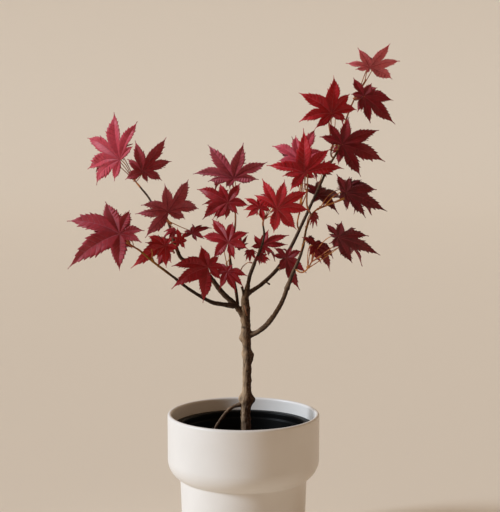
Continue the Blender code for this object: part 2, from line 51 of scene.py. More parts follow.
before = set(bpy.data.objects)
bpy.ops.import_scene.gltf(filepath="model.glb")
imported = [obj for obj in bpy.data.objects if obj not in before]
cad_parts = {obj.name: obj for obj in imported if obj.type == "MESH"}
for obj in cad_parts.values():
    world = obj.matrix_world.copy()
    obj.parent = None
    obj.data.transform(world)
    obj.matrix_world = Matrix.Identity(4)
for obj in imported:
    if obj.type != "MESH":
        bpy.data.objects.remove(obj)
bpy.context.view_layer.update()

MM = 0.001
BODY = "root"

# The front view's camera: where it stands, how far it looks down and to the right, its lens,
# its sensor and its picture's size in pixels.
EYE = np.array([0.8, -1587.5, 496.3])
LOOK_DOWN = radians(7.893)
LOOK_RIGHT = radians(0.189)
LENS = 123.65
SENSOR = 36.0
PICTURE = (500, 512)
AHEAD = np.array([
    sin(LOOK_RIGHT) * cos(LOOK_DOWN), cos(LOOK_RIGHT) * cos(LOOK_DOWN), -sin(LOOK_DOWN)
])
RIGHT = np.array([cos(LOOK_RIGHT), -sin(LOOK_RIGHT), 0.0])
UP = np.cross(RIGHT, AHEAD)
FOCUS = LENS / SENSOR * max(PICTURE)
# Rows of x and z are read off the front view at this many millimetres a pixel, from the pixel
# where the planter's foot stands on its axis.
PIXEL = 0.921
FOOT_PIXEL = (243.5, 554.3)

# Each tint of leaf: its blade and its veins as sRGB, and how thick its waxy skin is, which
# weights the sheen on its lit halves and how far its tips are paled as painted sheen.
TINTS = {
    "coral": ("#E86C74", "#B83440", 0.16),
    "rose": ("#CC3E4E", "#A42434", 0.2),
    "mauve": ("#BA404E", "#80182A", 0.4),
    "plum": ("#A82430", "#AC4854", 0.34),
    "scarlet": ("#BC1620", "#CC4850", 0.0),
    "crimson": ("#9C1019", "#B4343E", 0.0),
    "wine": ("#820C14", "#9A242E", 0.0),
    "maroon": ("#66080D", "#86202A", 0.0),
}
# What a leaf's underside greys to, the paler tone painted towards its lobes' tips as painted
# sheen, the tone of the waxy sheen itself, and how dark its blotches are, and its heart as
# painted shade, beside its tint.
UNDERSIDE_TONE = "#8A6A66"
PAINTED_SHEEN_TONE = "#BE8E9A"
SHEEN_TONE = "#FFCBD7"
HEART_SHADE = 0.44
SLOT_OF_TINT = {
    "coral": "leaves_rose",
    "rose": "leaves_rose",
    "mauve": "leaves_rose",
    "plum": "leaves_crimson",
    "scarlet": "leaves_scarlet",
    "crimson": "leaves_crimson",
    "wine": "leaves_crimson",
    "maroon": "leaves_maroon",
}
# What a leaf behind a front one may be tinted.
QUIETER = {
    "coral": ("rose", "scarlet"),
    "rose": ("crimson", "mauve"),
    "mauve": ("crimson", "wine"),
    "plum": ("wine", "crimson"),
    "scarlet": ("crimson", "scarlet"),
    "crimson": ("wine", "scarlet"),
    "wine": ("maroon", "crimson"),
    "maroon": ("wine", "maroon"),
}

# Trunk from below the soil's face to the fork: x, z and radius.
TRUNK = (
    (2.4, 101.5, 8.6), (2.4, 105.3, 7.2), (2.4, 110, 5), (2.2, 120, 4.4), (2.2, 133, 4.6),
    (2.8, 142, 5.2), (3.2, 149, 4.1), (3.2, 162, 3.8), (3.4, 178, 4), (3.4, 185, 4.1),
    (3, 192, 3.9), (2.3, 199, 4.1), (2.4, 207, 3.8), (1.8, 217, 4.5), (2, 226, 4.2),
    (1.4, 234, 3.4), (2.6, 240.5, 3),
)

# Each limb from its root to its tip: x, z, depth and radius.
LIMBS = {
    "surface_root": (
        (1, 139, 0, 1.9), (-5, 137.3, -1.5, 1.7), (-12, 134.5, -3, 1.6), (-19, 127, -4.5, 1.5),
        (-25, 118, -6, 1.4), (-28, 110, -7, 1.4), (-28.6, 105.4, -7.2, 1.4),
    ),
    "left_bough": (
        (1, 219, 0, 3), (-7, 229, -1, 2.7), (-20, 241.6, -3, 2.4), (-32, 257, -3, 2.1),
        (-45, 266.5, 1, 2), (-57, 272.5, 6, 1.8), (-62, 283, 9, 1.6), (-67, 299, 13, 1.4),
        (-71, 309, 16, 1.3), (-81, 317, 21, 1.1), (-87, 328, 26, 1), (-95, 338, 31, 0.9),
    ),
    "far_left_bough": (
        (-9, 229, -2, 2.1), (-21.6, 230.5, -8, 2), (-31, 233, -13, 1.8), (-49, 243.5, -24, 1.5),
        (-68, 258, -36, 1.2), (-84, 270, -46, 1), (-94, 278.5, -52, 0.9),
    ),
    "inner_bough": (
        (-5, 224, 1, 1.6), (-6, 237, 5, 1.5), (-8, 248, 9, 1.4), (-11, 262, 15, 1.3),
        (-12.5, 276, 21, 1.2), (-9.5, 289, 27, 1.1), (-8, 300, 31, 1),
    ),
    "central_bough": (
        (2.7, 240.9, 0, 2.3), (3.9, 247.4, 0, 1.9), (6, 257, -1, 1.8), (9.4, 266, -3.5, 1.7),
        (11, 270.5, -6, 1.4), (14, 277, -11, 1.2), (17.5, 286, -18, 1.1), (19, 295, -25, 1),
        (18, 303, -31, 0.9),
    ),
    "right_bough": (
        (2, 238.5, 1, 2.1), (9, 243.5, 3, 1.9), (17, 249, 5, 1.8), (31.8, 263.5, 11, 1.8),
        (44.7, 285, 17, 1.7), (54.8, 306, 22, 1.5), (64, 326, 26, 1.35), (77.8, 355.8, 31, 1.15),
        (87, 372.4, 34, 1), (92, 391, 37, 0.9),
    ),
    "low_right_bough": (
        (3, 201.2, 1.2, 2.4), (10.6, 203.6, -1.6, 2.2), (17, 207.5, -5, 2.4), (24.4, 215, -8, 2.3),
        (31, 224.5, -12, 2.1), (36.4, 234.5, -16, 2), (39.6, 243.5, -19, 1.9),
    ),
    "low_right_bough_upper": (
        (39.8, 244.1, -19.2, 1.9), (44.7, 257, -23, 1.7), (50, 269, -28, 1.5), (54, 280, -32, 1.3),
        (56, 290, -35, 1.2), (58, 300.5, -38, 1), (61, 309, -40, 0.9),
    ),
}

# How much older than its girth a limb's bark looks, and how golden its thinnest wood is.
WEATHER = {
    "surface_root": (0.5, 0), "far_left_bough": (0, 1), "right_bough": (0, 0.5),
    "low_right_bough_upper": (0, 0.6),
}
# Bark features.  A knob is a place on the skin (x, z, depth), how far it swells there and how
# wide; a stub of a lost twig is its root and tip (x, z, depth) and radius; a scar on the front
# is where it starts and ends (x, z), how wide it is and how far it has healed.
KNOBS = (
    ((-2.2, 199.2, -1), 2.5, 3.2), ((-1.2, 204.5, -1.5), 0.9, 4.5), ((7.6, 183.6, 0), 2.4, 3.2),
    ((7.2, 178.8, -1), 1.3, 2.4), ((-1.4, 185.5, -0.5), 0.5, 4), ((7.8, 142.6, 0), 2.6, 4),
    ((-2.4, 144.8, -1), 2.3, 4.6), ((2.6, 141, -5.4), 1.2, 3.6), ((2.8, 144, 5.4), 1.4, 4),
    ((6.4, 204.4, -1), 0.9, 3.6), ((6.2, 160, -1), 0.6, 2.2),
)
STUBS = (
    ((0.6, 236, -1.2), (-1.4, 246.2, -2), 1.15),
    ((20, 251.5, 5), (24.2, 248.6, 3), 0.75),
    ((-82.5, 269, -46), (-84, 272.8, -48.5), 0.9),
)
SCARS = (
    ((0.4, 231), (3.1, 222), 0.85, 1),
    ((0.2, 210.8), (0.9, 210.6), 0.8, 0),
    ((3.4, 170), (3.9, 169.8), 0.6, 0),
)

# Each mass: the limb and the share of its length where the stem leaves it, where the stem ends
# (x, z, depth), a seed, how the leaves behind look, and the leaves that face the front: x, z,
# depth, length, direction of the middle lobe, way and angle of the lean, how widely the lobes
# spread, and tint.  Directions are degrees counter-clockwise from the right.  A front leaf's
# second line is where the tips of its seven lobes show, in millimetres right of and above its
# heart, counter-clockwise from its stalk.  A leaf without it has its lobes by the rule.
MASSES = {
    "upper_left": ("left_bough", 1, (-104, 349, 36), 11, ("up", "back"), (
        (-114, 363.5, 30, 50, 148, 185, 30, 1, "rose",
         ((12, 12), (16, 35), (-5, 44), (-30, 20), (-30, -9), (-22, -24), (-5, -20))),
        (-93, 352, 22, 38, 56, 300, 14, 0.95, "plum",
         ((5, -8), (18, -8), (27, 10), (22, 32), (-7, 29), (-14, 12), (-16, -7))),
    )),
    "left": ("far_left_bough", 1, (-104, 284, -55), 12, ("up", "back"), (
        (-114, 295, -62, 54, 164, 80, 28, 1.14, "plum",
         ((9, 22), (-13, 30), (-49, 12), (-48, -32), (0, -34), (20, -8), (23, 3))),
    )),
    "middle_left": ("left_bough", 0.735, (-66, 304, 2), 13, (), (
        (-69.5, 315.3, -6, 41, 57, 345, 28, 1.12, "mauve",
         ((16, -7), (29, 3), (19, 30), (-3, 26), (-25, 6), (-30, -2), (-21, -24))),
        (-47, 295.5, -2, 25, 14, 100, 40, 1.2, "wine",
         ((4, -7), (11, -5), (18, 5), (9, 8), (0, 7), (-8, 2), (-12, -5))),
    )),
    "lower_left": ("left_bough", 0.6, (-64, 277, -8), 14, ("back",), (
        (-72, 284, -16, 33, 206, 90, 12, 1, "scarlet",
         ((6, 8), (-3, 9), (-16, 9), (-32, -21), (-8, -12), (1, -20), (12, -3))),
        (-59, 287, -14, 16, 95, 0, 42, 0.9, "scarlet",
         ((5, -5), (7, 2), (6, 10), (-2, 14), (-7, 6), (-7, 0), (-4, -5))),
    )),
    "front_left": ("left_bough", 0.3, (-31, 258, -24), 15, (), (
        (-32.5, 264.3, -40, 38, 207, 60, 20, 1.04, "crimson",
         ((12, -12), (16, -1), (10, 10), (-7, 20), (-34, 1), (-34, -20), (-5, -33))),
    )),
    "inner_low": ("inner_bough", 0.42, (-16, 268, -4), 16, (), (
        (-14, 287, -27, 32, 123, 105, 24, 1.05, "crimson",
         ((6, -15), (18, -6), (19, 9), (4, 19), (-15, 22), (-25, 6), (-14, -15))),
        (-15, 260, -22, 22, 310, 130, 25, 0.78, "crimson",
         ((-12, -1), (-7, -16), (8, -19), (15, -14), (19, -4), (5, 7), (-7, 8))),
    )),
    "inner_top": ("inner_bough", 1, (-10.5, 330, 40), 17, ("up", "back"), (
        (-9, 346, 32, 44, 127, 250, 14, 1.15, "mauve",
         ((23, -1), (31, 15), (9, 33), (-24, 31), (-38, 4), (-24, -3), (-7, -8))),
        (-14, 324, 16, 34, 182, 200, 14, 0.95, "crimson",
         ((9, -11), (19, -3), (11, 18), (-8, 18), (-29, 12), (-24, -16), (-11, -16))),
    )),
    "centre": ("central_bough", 0.43, (14, 273, 8), 18, ("up", "back"), (
        (16, 283, 2, 26, 18, 200, 10, 0.85, "crimson",
         ((5, -7), (12, -5), (25, 2), (26, 11), (7, 16), (-6, 11), (-9, 0))),
        (17, 273, -2, 8, 350, 90, 20, 1, "scarlet"),
    )),
    "centre_top": ("central_bough", 1, (20, 310, -38), 19, ("up",), (
        (31, 318, -50, 34, 112, 270, 8, 1.1, "scarlet",
         ((-3, -22), (18, -19), (30, -1), (29, 16), (7, 27), (-14, 28), (-21, 13))),
        (15, 319, -38, 23, 186, 60, 22, 1, "scarlet",
         ((4, -12), (10, -3), (9, 8), (-1, 11), (-14, 9), (-15, -2), (-12, -9))),
    )),
    "right_low": ("right_bough", 0.22, (36, 266, -4), 20, (), (
        (40, 273, -14, 32, 291, 200, 18, 1.05, "wine",
         ((-7, -12), (12, -30), (18, -14), (14, 6), (4, 10), (-12, 9), (-13, 2))),
    )),
    "right_side": ("low_right_bough_upper", 0.36, (66, 278, -44), 21, ("up", "back"), (
        (87.4, 292, -58, 43, 338, 240, 16, 0.72, "maroon",
         ((-5, -10), (13, -24), (39, -17), (28, 1), (3, 15), (-11, 12), (-8, 2))),
        (65, 284, -46, 29, 306, 30, 40, 0.7, "wine",
         ((-4, -9), (2, -9), (15, -24), (18, -12), (8, 3), (-3, 8), (-11, 8))),
    )),
    "right_outer": ("low_right_bough_upper", 1, (75, 321, -38), 22, ("up", "back"), (
        (94.7, 332.8, -34, 43, 336, 240, 16, 0.73, "maroon",
         ((3, -10), (18, -23), (38, -17), (28, 3), (3, 15), (-9, 17), (-7, 4))),
    )),
    "right_middle": ("right_bough", 0.47, (58, 332, 6), 23, ("up", "back"), (
        (56, 351, -8, 42, 91, 270, 10, 1, "scarlet",
         ((10, -5), (37, 4), (24, 22), (-1, 41), (-35, 7), (-20, -3), (-13, -16))),
        (52, 362, 10, 36, 107, 107, 26, 1, "rose",
         ((17, -6), (22, 9), (14, 30), (-4, 24), (-26, 14), (-20, 0), (-9, -7))),
    )),
    "right_inner": ("right_bough", 0.6, (68, 336, 40), 24, ("up",), (
        (68, 330, 46, 28, 335, 60, 45, 1, "maroon",
         ((-3, -6), (20, -17), (27, -7), (8, 8), (2, 14), (-13, 12), (-13, 7))),
    )),
    "right_upper": ("right_bough", 0.86, (84, 380, 28), 25, ("up", "back"), (
        (81, 406, 26, 39, 89, 350, 14, 1.12, "scarlet",
         ((14, -7), (24, 3), (17, 18), (2, 35), (-30, 19), (-30, -8), (-15, -14))),
        (91, 377.5, 14, 43, 340, 250, 16, 0.96, "wine",
         ((-1, -14), (17, -30), (40, -16), (34, 13), (6, 25), (-12, 20), (-21, 7))),
    )),
    "top": ("right_bough", 1, (112, 436, 48), 26, ("up", "back"), (
        (116.2, 448.2, 46, 31, 52, 290, 26, 1.2, "coral",
         ((21, -11), (28, 6), (19, 22), (-11, 18), (-22, 4), (-13, -2), (-3, -5))),
        (111.1, 421.8, 36, 37, 321, 230, 14, 0.86, "wine",
         ((-3, -14), (6, -25), (29, -26), (27, -4), (7, 12), (-10, 17), (-12, 2))),
    )),
}

# Young leaves on the boughs' sides: the limb and the share of its length where the stalk leaves
# it, then the leaf as in MASSES.
YOUNG_LEAVES = (
    ("central_bough", 0.52, (6, 280, -12, 12, 274, 90, 40, 0.6, "crimson")),
    ("central_bough", 0.4, (13.5, 275, -10, 11, 318, 0, 35, 0.8, "wine")),
    ("low_right_bough_upper", 0.94, (63.5, 312, -44, 14, 302, 0, 45, 0.6, "crimson")),
    ("low_right_bough_upper", 0.55, (60, 290, -38, 10, 330, 30, 40, 0.7, "maroon")),
    ("left_bough", 0.55, (-63, 298, -2, 12, 200, 90, 40, 0.7, "crimson")),
    ("inner_bough", 0.75, (-5, 283, 12, 13, 40, 300, 35, 0.8, "wine")),
    ("right_bough", 0.7, (73, 352, 40, 15, 60, 180, 35, 0.8, "crimson")),
)
# Bare shoots: their line as (x, z, depth), and the radius at the root.
SHOOTS = (
    (((-3.6, 259, 10), (-1, 264.5, 4), (3.4, 268.4, -4), (6.5, 268.6, -7)), 0.6),
    (((62, 313, -40), (58.4, 322, -30), (58.8, 338, -16), (59.2, 351, -7)), 0.95),
    (((-85.5, 271, -46.5), (-84, 276, -48), (-84.6, 279.5, -50)), 0.75),
)

# The source's rule for stems, stalks and the leaves behind the front ones.  The leaves that look
# to the back are smaller here, so that the front ones hide them.
GAP = 0.3
COARSE_STEP = 8.0
TWIG_RADIUS = 0.75
SIDE_SEAT = 0.05
STEM_PULL = 0.5
STALK_RADIUS = 0.45
STALK_STEPS = 5
# How much thicker than a stalk a stem ends, how far it swells at its nodes and how close they
# are, and how much a bare shoot tapers.
STEM_END = 0.08
NODE_SWELL = 0.12
NODE_RATE = 0.55
SHOOT_TAPER = 0.45
# How many sides the round sections have.
LIMB_SIDES = 20
STUB_SIDES = 12
TWIG_SIDES = 10
STALK_SIDES = 8
STALK_PULL = (-0.45, 0.22)
STALK_SLACK = 0.75
# A stalk ends this share of the leaf's length along the middle lobe, and so far under the blade.
STALK_END = (0.012, 0.25)
# Which of a stem's points its leaves part from: the first leaf, then the odd and the even ones.
PARTINGS = (5, 3, 4)
# How long the leaves behind are beside the front ones, and where and how the two kinds hang.
BEHIND_SHARE = 0.72
UP_LEAF_DEPTH = 24.0
UP_LEAF_DEPTH_PLAY = 8.0
UP_LEAF_ALONG = (0.35, 0.9)
UP_LEAF_DROOP = 0.3
UP_LEAF_FACE = (0.6, 0.12, 0.78)
UP_LEAF_TUCK = 0.2
BACK_LEAF_DEPTH = 46.0
BACK_LEAF_DEPTH_PLAY = 10.0
HEIGHT_PLAY = 3.0

# The finer growth that the rule is carried to here, as shares of a front leaf's length: which
# leaves have it on both sides, how far behind and how big it is, how far it is drawn along the
# middle lobe and to the side, and how widely its lobes spread.  Its middle lobe points back,
# FINER_OUT to the side and up or down by FINER_RISE, and its face looks to the side, FINER_TILT
# to the back and FINER_UP.
FINER_PAIR_LENGTH = 30.0
FINER_DEPTH = (0.25, 0.55)
FINER_SHARE = (0.46, 0.58)
FINER_ALONG = (0.05, 0.2)
FINER_ASIDE = (0.0, 0.06)
FINER_SPREAD = 0.64
FINER_OUT = 0.1
FINER_RISE = (-0.4, 0.3)
FINER_TILT = (-0.2, 0.2)
FINER_UP = 0.3

# A leaf's seven lobes, from the middle one outwards, as shares of the leaf's length.
LOBES = 7
HALVES = 2 * LOBES
LOBE_RANKS = np.array([3, 2, 1, 0, 1, 2, 3])
LOBE_SIGNS = np.array([-1, -1, -1, 1, 1, 1, 1])
LOBE_ANGLES = np.array([0.0, 44.0, 86.0, 130.0])
LOBE_LENGTHS = np.array([1.0, 0.84, 0.60, 0.42])
ANGLE_PLAY = 3.0
LENGTH_PLAY = 0.05
WIDTH_PLAY = (0.92, 1.08)
# How far a lobe longer than its leaf's mean is slimmed, and a shorter one widened at most.
SLIMMING = 0.55
WIDEST = 1.08
# The notch between two lobes: its reach as a share of their mean and of the shorter one, how it
# deepens where they stand more than NOTCH_WIDE degrees apart, and how its reach varies.
NOTCH_SHARE = 0.40
NOTCH_LIMIT = 0.60
NOTCH_WIDE = 50.0
NOTCH_DEEPENING = 0.35
NOTCH_PLAY = (0.8, 1.2)
WIDEST_GAPE = 60.0
CROWDING = 0.54
# The two rays beside the stalk: how far they reach, and how many degrees apart they stay.
HEEL_REACH = 0.06
HEEL_CLEARANCE = 4.0
# How a leaf bends: its cup, where its lobes start to droop, and how the droop varies.
CUP = 0.26
DROOP_START = 0.3
DROOP_PLAY = (-0.4, 1.0)
SAG_ROUNDS = 10
# The fold is rounded at the midrib and falls off with y squared, the quilting fades towards the
# margin, and the margin has small waves.  Waves and twist come in over FREE_REACH past the notch.
FREE_REACH = 0.3
FOLD_ROUND = 0.0003
FOLD_ROOT = 0.0173
FOLD_FALL = 0.8
QUILT_FADE = 0.7
WAVE_HEIGHT = 0.016
WAVE_RATE = 17.0
# A midrib tapers by this share of its width, which is held between two shares of its row, and
# is sunk above and proud below by so many millimetres.
RIB_TAPER = 0.65
RIB_SHARES = (0.02, 0.3)
RIB_SUNK = 0.10
RIB_PROUD = 0.28

# A half lobe's mesh: rows from the heart to the notch, four rows a tooth beyond it, and
# columns from the midrib to the margin.  A side vein runs to each tooth's tip.
NOTCH_ROWS = 6
TEETH = 8
TOOTH_ROWS = (0.5, 0.86, 0.95, 1.0)
TOOTH_HEIGHTS = (0.45, 0.9, 1.0, 0.0)
TOOTH_PLAY = (0.6, 1.2)
TOOTH_PAIR = (1.0, 0.65)
TOOTH_LEAN = 0.9
# The shares of the way to a lobe's tip over which the teeth come in and die away.
TOOTH_SWELL = (0.02, 0.22)
TOOTH_FADE = (0.62, 0.9)
VEIN_ROW = 2
ROWS = NOTCH_ROWS + len(TOOTH_ROWS) * TEETH
COLUMNS = 4


def linear(code):
    """Linear RGBA of an sRGB hex colour."""
    parts = np.array([int(code[i:i + 2], 16) for i in (1, 3, 5)]) / 255.0
    low = parts / 12.92
    high = ((parts + 0.055) / 1.055) ** 2.4
    return (*np.where(parts <= 0.04045, low, high), 1.0)


def unit(vectors):
    """The same vectors at length one."""
    return vectors / np.maximum(np.linalg.norm(vectors, axis=-1, keepdims=True), 1e-9)


def ease(low, high, value):
    """0 below low, 1 above high, and 3t^2 - 2t^3 between them."""
    t = np.clip((value - low) / (high - low), 0.0, 1.0)
    return t * t * (3.0 - 2.0 * t)


def lattice_noise(points, seed):
    """Noise from -1 to 1 at an (n, 3) array.

    Each corner of the unit lattice has a value hashed from its whole coordinates and the seed,
    and a point blends its cell's eight corners by 3t^2 - 2t^3 along each axis.
    """
    cell = np.floor(points).astype(np.int64)
    t = points - cell
    t = t * t * (3.0 - 2.0 * t)
    total = np.zeros(len(points))
    for corner in range(8):
        offset = np.array([corner & 1, corner >> 1 & 1, corner >> 2 & 1])
        key = (cell + offset) @ np.array([374761393, 668265263, 1103515245]) + seed * 362437
        key = key & 0xFFFFFFFF
        key = ((key ^ (key >> 15)) * 2246822519) & 0xFFFFFFFF
        key = ((key ^ (key >> 13)) * 3266489917) & 0xFFFFFFFF
        value = (key ^ (key >> 16)) / 0xFFFFFFFF * 2.0 - 1.0
        total += value * np.prod(np.where(offset == 1, t, 1.0 - t), axis=1)
    return total


def layered_noise(points, layers):
    """Noise summed over layers of (width in millimetres, height, seed)."""
    return sum(height * lattice_noise(points / width, seed) for width, height, seed in layers)


def shown_object(name, mesh, materials, marks):
    """A mesh as a smooth-shaded object, with its materials and its points' marks."""
    mesh.materials.clear()
    for material in materials:
        mesh.materials.append(material)
    for mark, values in marks.items():
        attribute = mesh.attributes.new(mark, "FLOAT", "POINT")
        attribute.data.foreach_set("value", values.astype(np.float32))
    mesh.update()
    mesh.shade_smooth()
    item = bpy.data.objects.new(name, mesh)
    bpy.context.scene.collection.objects.link(item)
    return item


def mesh_object(name, points, faces, materials, slots=None, marks=None):
    """One object from points in millimetres and an (n, 3) array of triangles."""
    mesh = bpy.data.meshes.new(name)
    mesh.vertices.add(len(points))
    mesh.vertices.foreach_set("co", (points * MM).astype(np.float32).ravel())
    mesh.loops.add(faces.size)
    mesh.loops.foreach_set("vertex_index", faces.astype(np.int32).ravel())
    mesh.polygons.add(len(faces))
    mesh.polygons.foreach_set("loop_start", np.arange(0, faces.size, 3, dtype=np.int32))
    mesh.update(calc_edges=True)
    item = shown_object(name, mesh, materials, marks or {})
    if slots is not None:
        mesh.polygons.foreach_set("material_index", slots.astype(np.int32))
    return item


class Heap:
    """Closed shells gathered as arrays, to be made into one object."""

    def __init__(self):
        self.points, self.faces, self.slots, self.marks = [], [], [], {}
        self.count = 0

    def add(self, shell, slot=0, **marks):
        points, faces = shell
        self.points.append(points)
        self.faces.append(faces + self.count)
        self.slots.append(np.broadcast_to(slot, len(faces)))
        for mark, values in marks.items():
            self.marks.setdefault(mark, []).append(np.broadcast_to(values, len(points)))
        self.count += len(points)

    def make(self, name, materials):
        marks = {mark: np.concatenate(values) for mark, values in self.marks.items()}
        points, faces, slots = map(np.concatenate, (self.points, self.faces, self.slots))
        return mesh_object(name, points, faces, materials, slots, marks)


def ring_faces(rings, sides):
    """Triangles of a closed tube: its rings in order, then its first and its last end point."""
    i = np.arange(rings - 1)[:, None] * sides
    j = np.arange(sides)[None, :]
    near, far = i + j, i + (j + 1) % sides
    strips = [
        np.stack([near, far, far + sides], axis=-1).reshape(-1, 3),
        np.stack([near, far + sides, near + sides], axis=-1).reshape(-1, 3),
    ]
    first, last = rings * sides, rings * sides + 1
    j = np.arange(sides)
    end = (rings - 1) * sides
    fans = [
        np.stack([np.full(sides, first), (j + 1) % sides, j], axis=-1),
        np.stack([np.full(sides, last), end + j, end + (j + 1) % sides], axis=-1),
    ]
    return np.vstack(strips + fans)


def carried_ring(path, radii, sides):
    """A round section carried along a path, closed at both ends.

    A point is path + radius (cos a across + sin a over), with across and over square to the
    path, and the end points stand out by half a radius.
    """
    heading = unit(np.gradient(path, axis=0))
    steady = np.linalg.svd(heading, full_matrices=False)[2][-1]
    across = unit(np.cross(steady, heading))
    over = np.cross(heading, across)
    a = np.arange(sides) * (2.0 * pi / sides)
    spokes = across[:, None] * np.cos(a)[None, :, None] + over[:, None] * np.sin(a)[None, :, None]
    rings = path[:, None] + spokes * np.asarray(radii)[:, None, None]
    ends = [
        path[:1] - heading[:1] * radii[0] * 0.5,
        path[-1:] + heading[-1:] * radii[-1] * 0.5,
    ]
    return np.vstack([rings.reshape(-1, 3)] + ends), ring_faces(len(path), sides)


def turned_shell(profile, sides):
    """A profile of (radius, z) turned round the Z axis: x = r cos a, y = r sin a, z = z.

    It starts and ends on the axis, and runs out below, up the outside and down the inside.
    """
    profile = np.asarray(profile, float)
    a = np.arange(sides) * (2.0 * pi / sides)
    radius, height = profile[1:-1, 0, None], profile[1:-1, 1, None]
    rings = np.stack([radius * np.cos(a), radius * np.sin(a), height + 0.0 * a], axis=-1)
    poles = np.array([[0.0, 0.0, profile[0, 1]], [0.0, 0.0, profile[-1, 1]]])
    return np.vstack([rings.reshape(-1, 3), poles]), ring_faces(len(profile) - 2, sides)


def arc(centre, radius, start, end, steps):
    """Points (r, z) on an arc from one angle to another, in degrees."""
    a = np.radians(np.linspace(start, end, steps + 1))
    return np.stack([centre[0] + radius * np.cos(a), centre[1] + radius * np.sin(a)], axis=-1)


def eased_profile(corners, step):
    """A profile through (r, z, rounding) corners, each rounded by a quadratic curve.

    A corner is cut back by its rounding along both sides, and the curve between the two cuts is
    (1-t)^2 cut + 2t(1-t) corner + t^2 cut.  Straight stretches get a point every step.
    """
    corners = np.asarray(corners, float)
    places, roundings = corners[:, :2], corners[:, 2]
    run = [places[:1]]
    for before, place, after, rounding in zip(places, places[1:], places[2:], roundings[1:]):
        back = unit(before - place) * min(rounding, np.linalg.norm(before - place) * 0.49)
        on = unit(after - place) * min(rounding, np.linalg.norm(after - place) * 0.49)
        t = np.linspace(0.0, 1.0, 7 if rounding > 0.0 else 2)[:, None]
        curve = (1 - t) ** 2 * (place + back) + 2 * t * (1 - t) * place + t * t * (place + on)
        run.append(curve)
    run.append(places[-1:])
    rough = np.vstack(run)
    length = np.linalg.norm(np.diff(rough, axis=0), axis=1)
    fine = [rough[:1]]
    for start, end, span in zip(rough, rough[1:], length):
        if span > 1e-6:
            count = max(1, int(span / step))
            fine.append(start + (end - start) * (np.arange(1, count + 1)[:, None] / count))
    return np.vstack(fine)


def seen(rows):
    """Front-view rows (x, z, depth) as points in space.

    The line from the eye through a row's pixel, EYE + t (AHEAD + u RIGHT + v UP), is followed
    to the upright plane at the row's depth.
    """
    rows = np.atleast_2d(np.asarray(rows, float))
    u = (FOOT_PIXEL[0] + rows[:, :1] / PIXEL - PICTURE[0] / 2.0) / FOCUS
    v = (PICTURE[1] / 2.0 - FOOT_PIXEL[1] + rows[:, 1:2] / PIXEL) / FOCUS
    way = AHEAD + u * RIGHT + v * UP
    return EYE + way * ((rows[:, 2:] - EYE[1]) / way[:, 1:2])


def smooth_curve(rows, step):
    """A Catmull-Rom curve through the rows, read off about a step apart.

    Between a and b, with z before and c after, a point is half of
    2a + (b - z)t + (2z - 5a + 4b - c)t^2 + (3a - z - 3b + c)t^3.
    """
    rows = np.asarray(rows, float)
    rows = np.vstack([2.0 * rows[0] - rows[1], rows, 2.0 * rows[-1] - rows[-2]])
    stretches = []
    for z, a, b, c in zip(rows, rows[1:], rows[2:], rows[3:]):
        count = max(1, round(float(np.linalg.norm(b - a)) / step))
        t = (np.arange(count) / count)[:, None]
        stretches.append(0.5 * (
            2.0 * a + (b - z) * t
            + (2.0 * z - 5.0 * a + 4.0 * b - c) * t ** 2
            + (3.0 * a - z - 3.0 * b + c) * t ** 3
        ))
    return np.vstack(stretches + [rows[-2:-1]])


def travel(path):
    """How far along a path each of its points lies."""
    steps = np.linalg.norm(np.diff(path, axis=0), axis=1)
    return np.concatenate([[0.0], np.cumsum(steps)])


def limb_rows(name, step):
    """Points and radii of the trunk or a limb, root to tip."""
    limb = [(x, z, 0.0, radius) for x, z, radius in TRUNK] if name == "trunk" else LIMBS[name]
    limb = np.array(limb)
    rows = np.hstack([seen(limb[:, :3]), limb[:, 3:]])
    run = smooth_curve(rows, step)
    return run[:, :3], run[:, 3]


def bent(start, pull, end, steps):
    """Points (1-t)^2 start + 2t(1-t) pull + t^2 end."""
    t = (np.arange(steps + 1) / steps)[:, None]
    return start * (1.0 - t) ** 2 + pull * (2.0 * t * (1.0 - t)) + end * t ** 2


def lean_frame(turn, lean_way, lean):
    """A leaf's own axes: along the middle lobe, to its side, and out of its upper face."""
    toward_eye = np.array([0.0, -1.0, 0.0])
    way = np.array([cos(radians(lean_way)), 0.0, sin(radians(lean_way))])
    face = toward_eye * cos(radians(lean)) + way * sin(radians(lean))
    shown = np.array([cos(radians(turn)), 0.0, sin(radians(turn))])
    along = unit(shown - toward_eye * (shown @ face) / (toward_eye @ face))
    return along, np.cross(face, along), face


def free_frame(along, face):
    """A leaf's own axes from a middle lobe's direction and the way its upper face looks."""
    face = unit(np.asarray(face, float))
    along = np.asarray(along, float)
    along = unit(along - face * (along @ face))
    return along, np.cross(face, along), face


# A leaf's materials: its upper face, its underside and its veins.
UPPER, UNDER, VEIN = range(3)


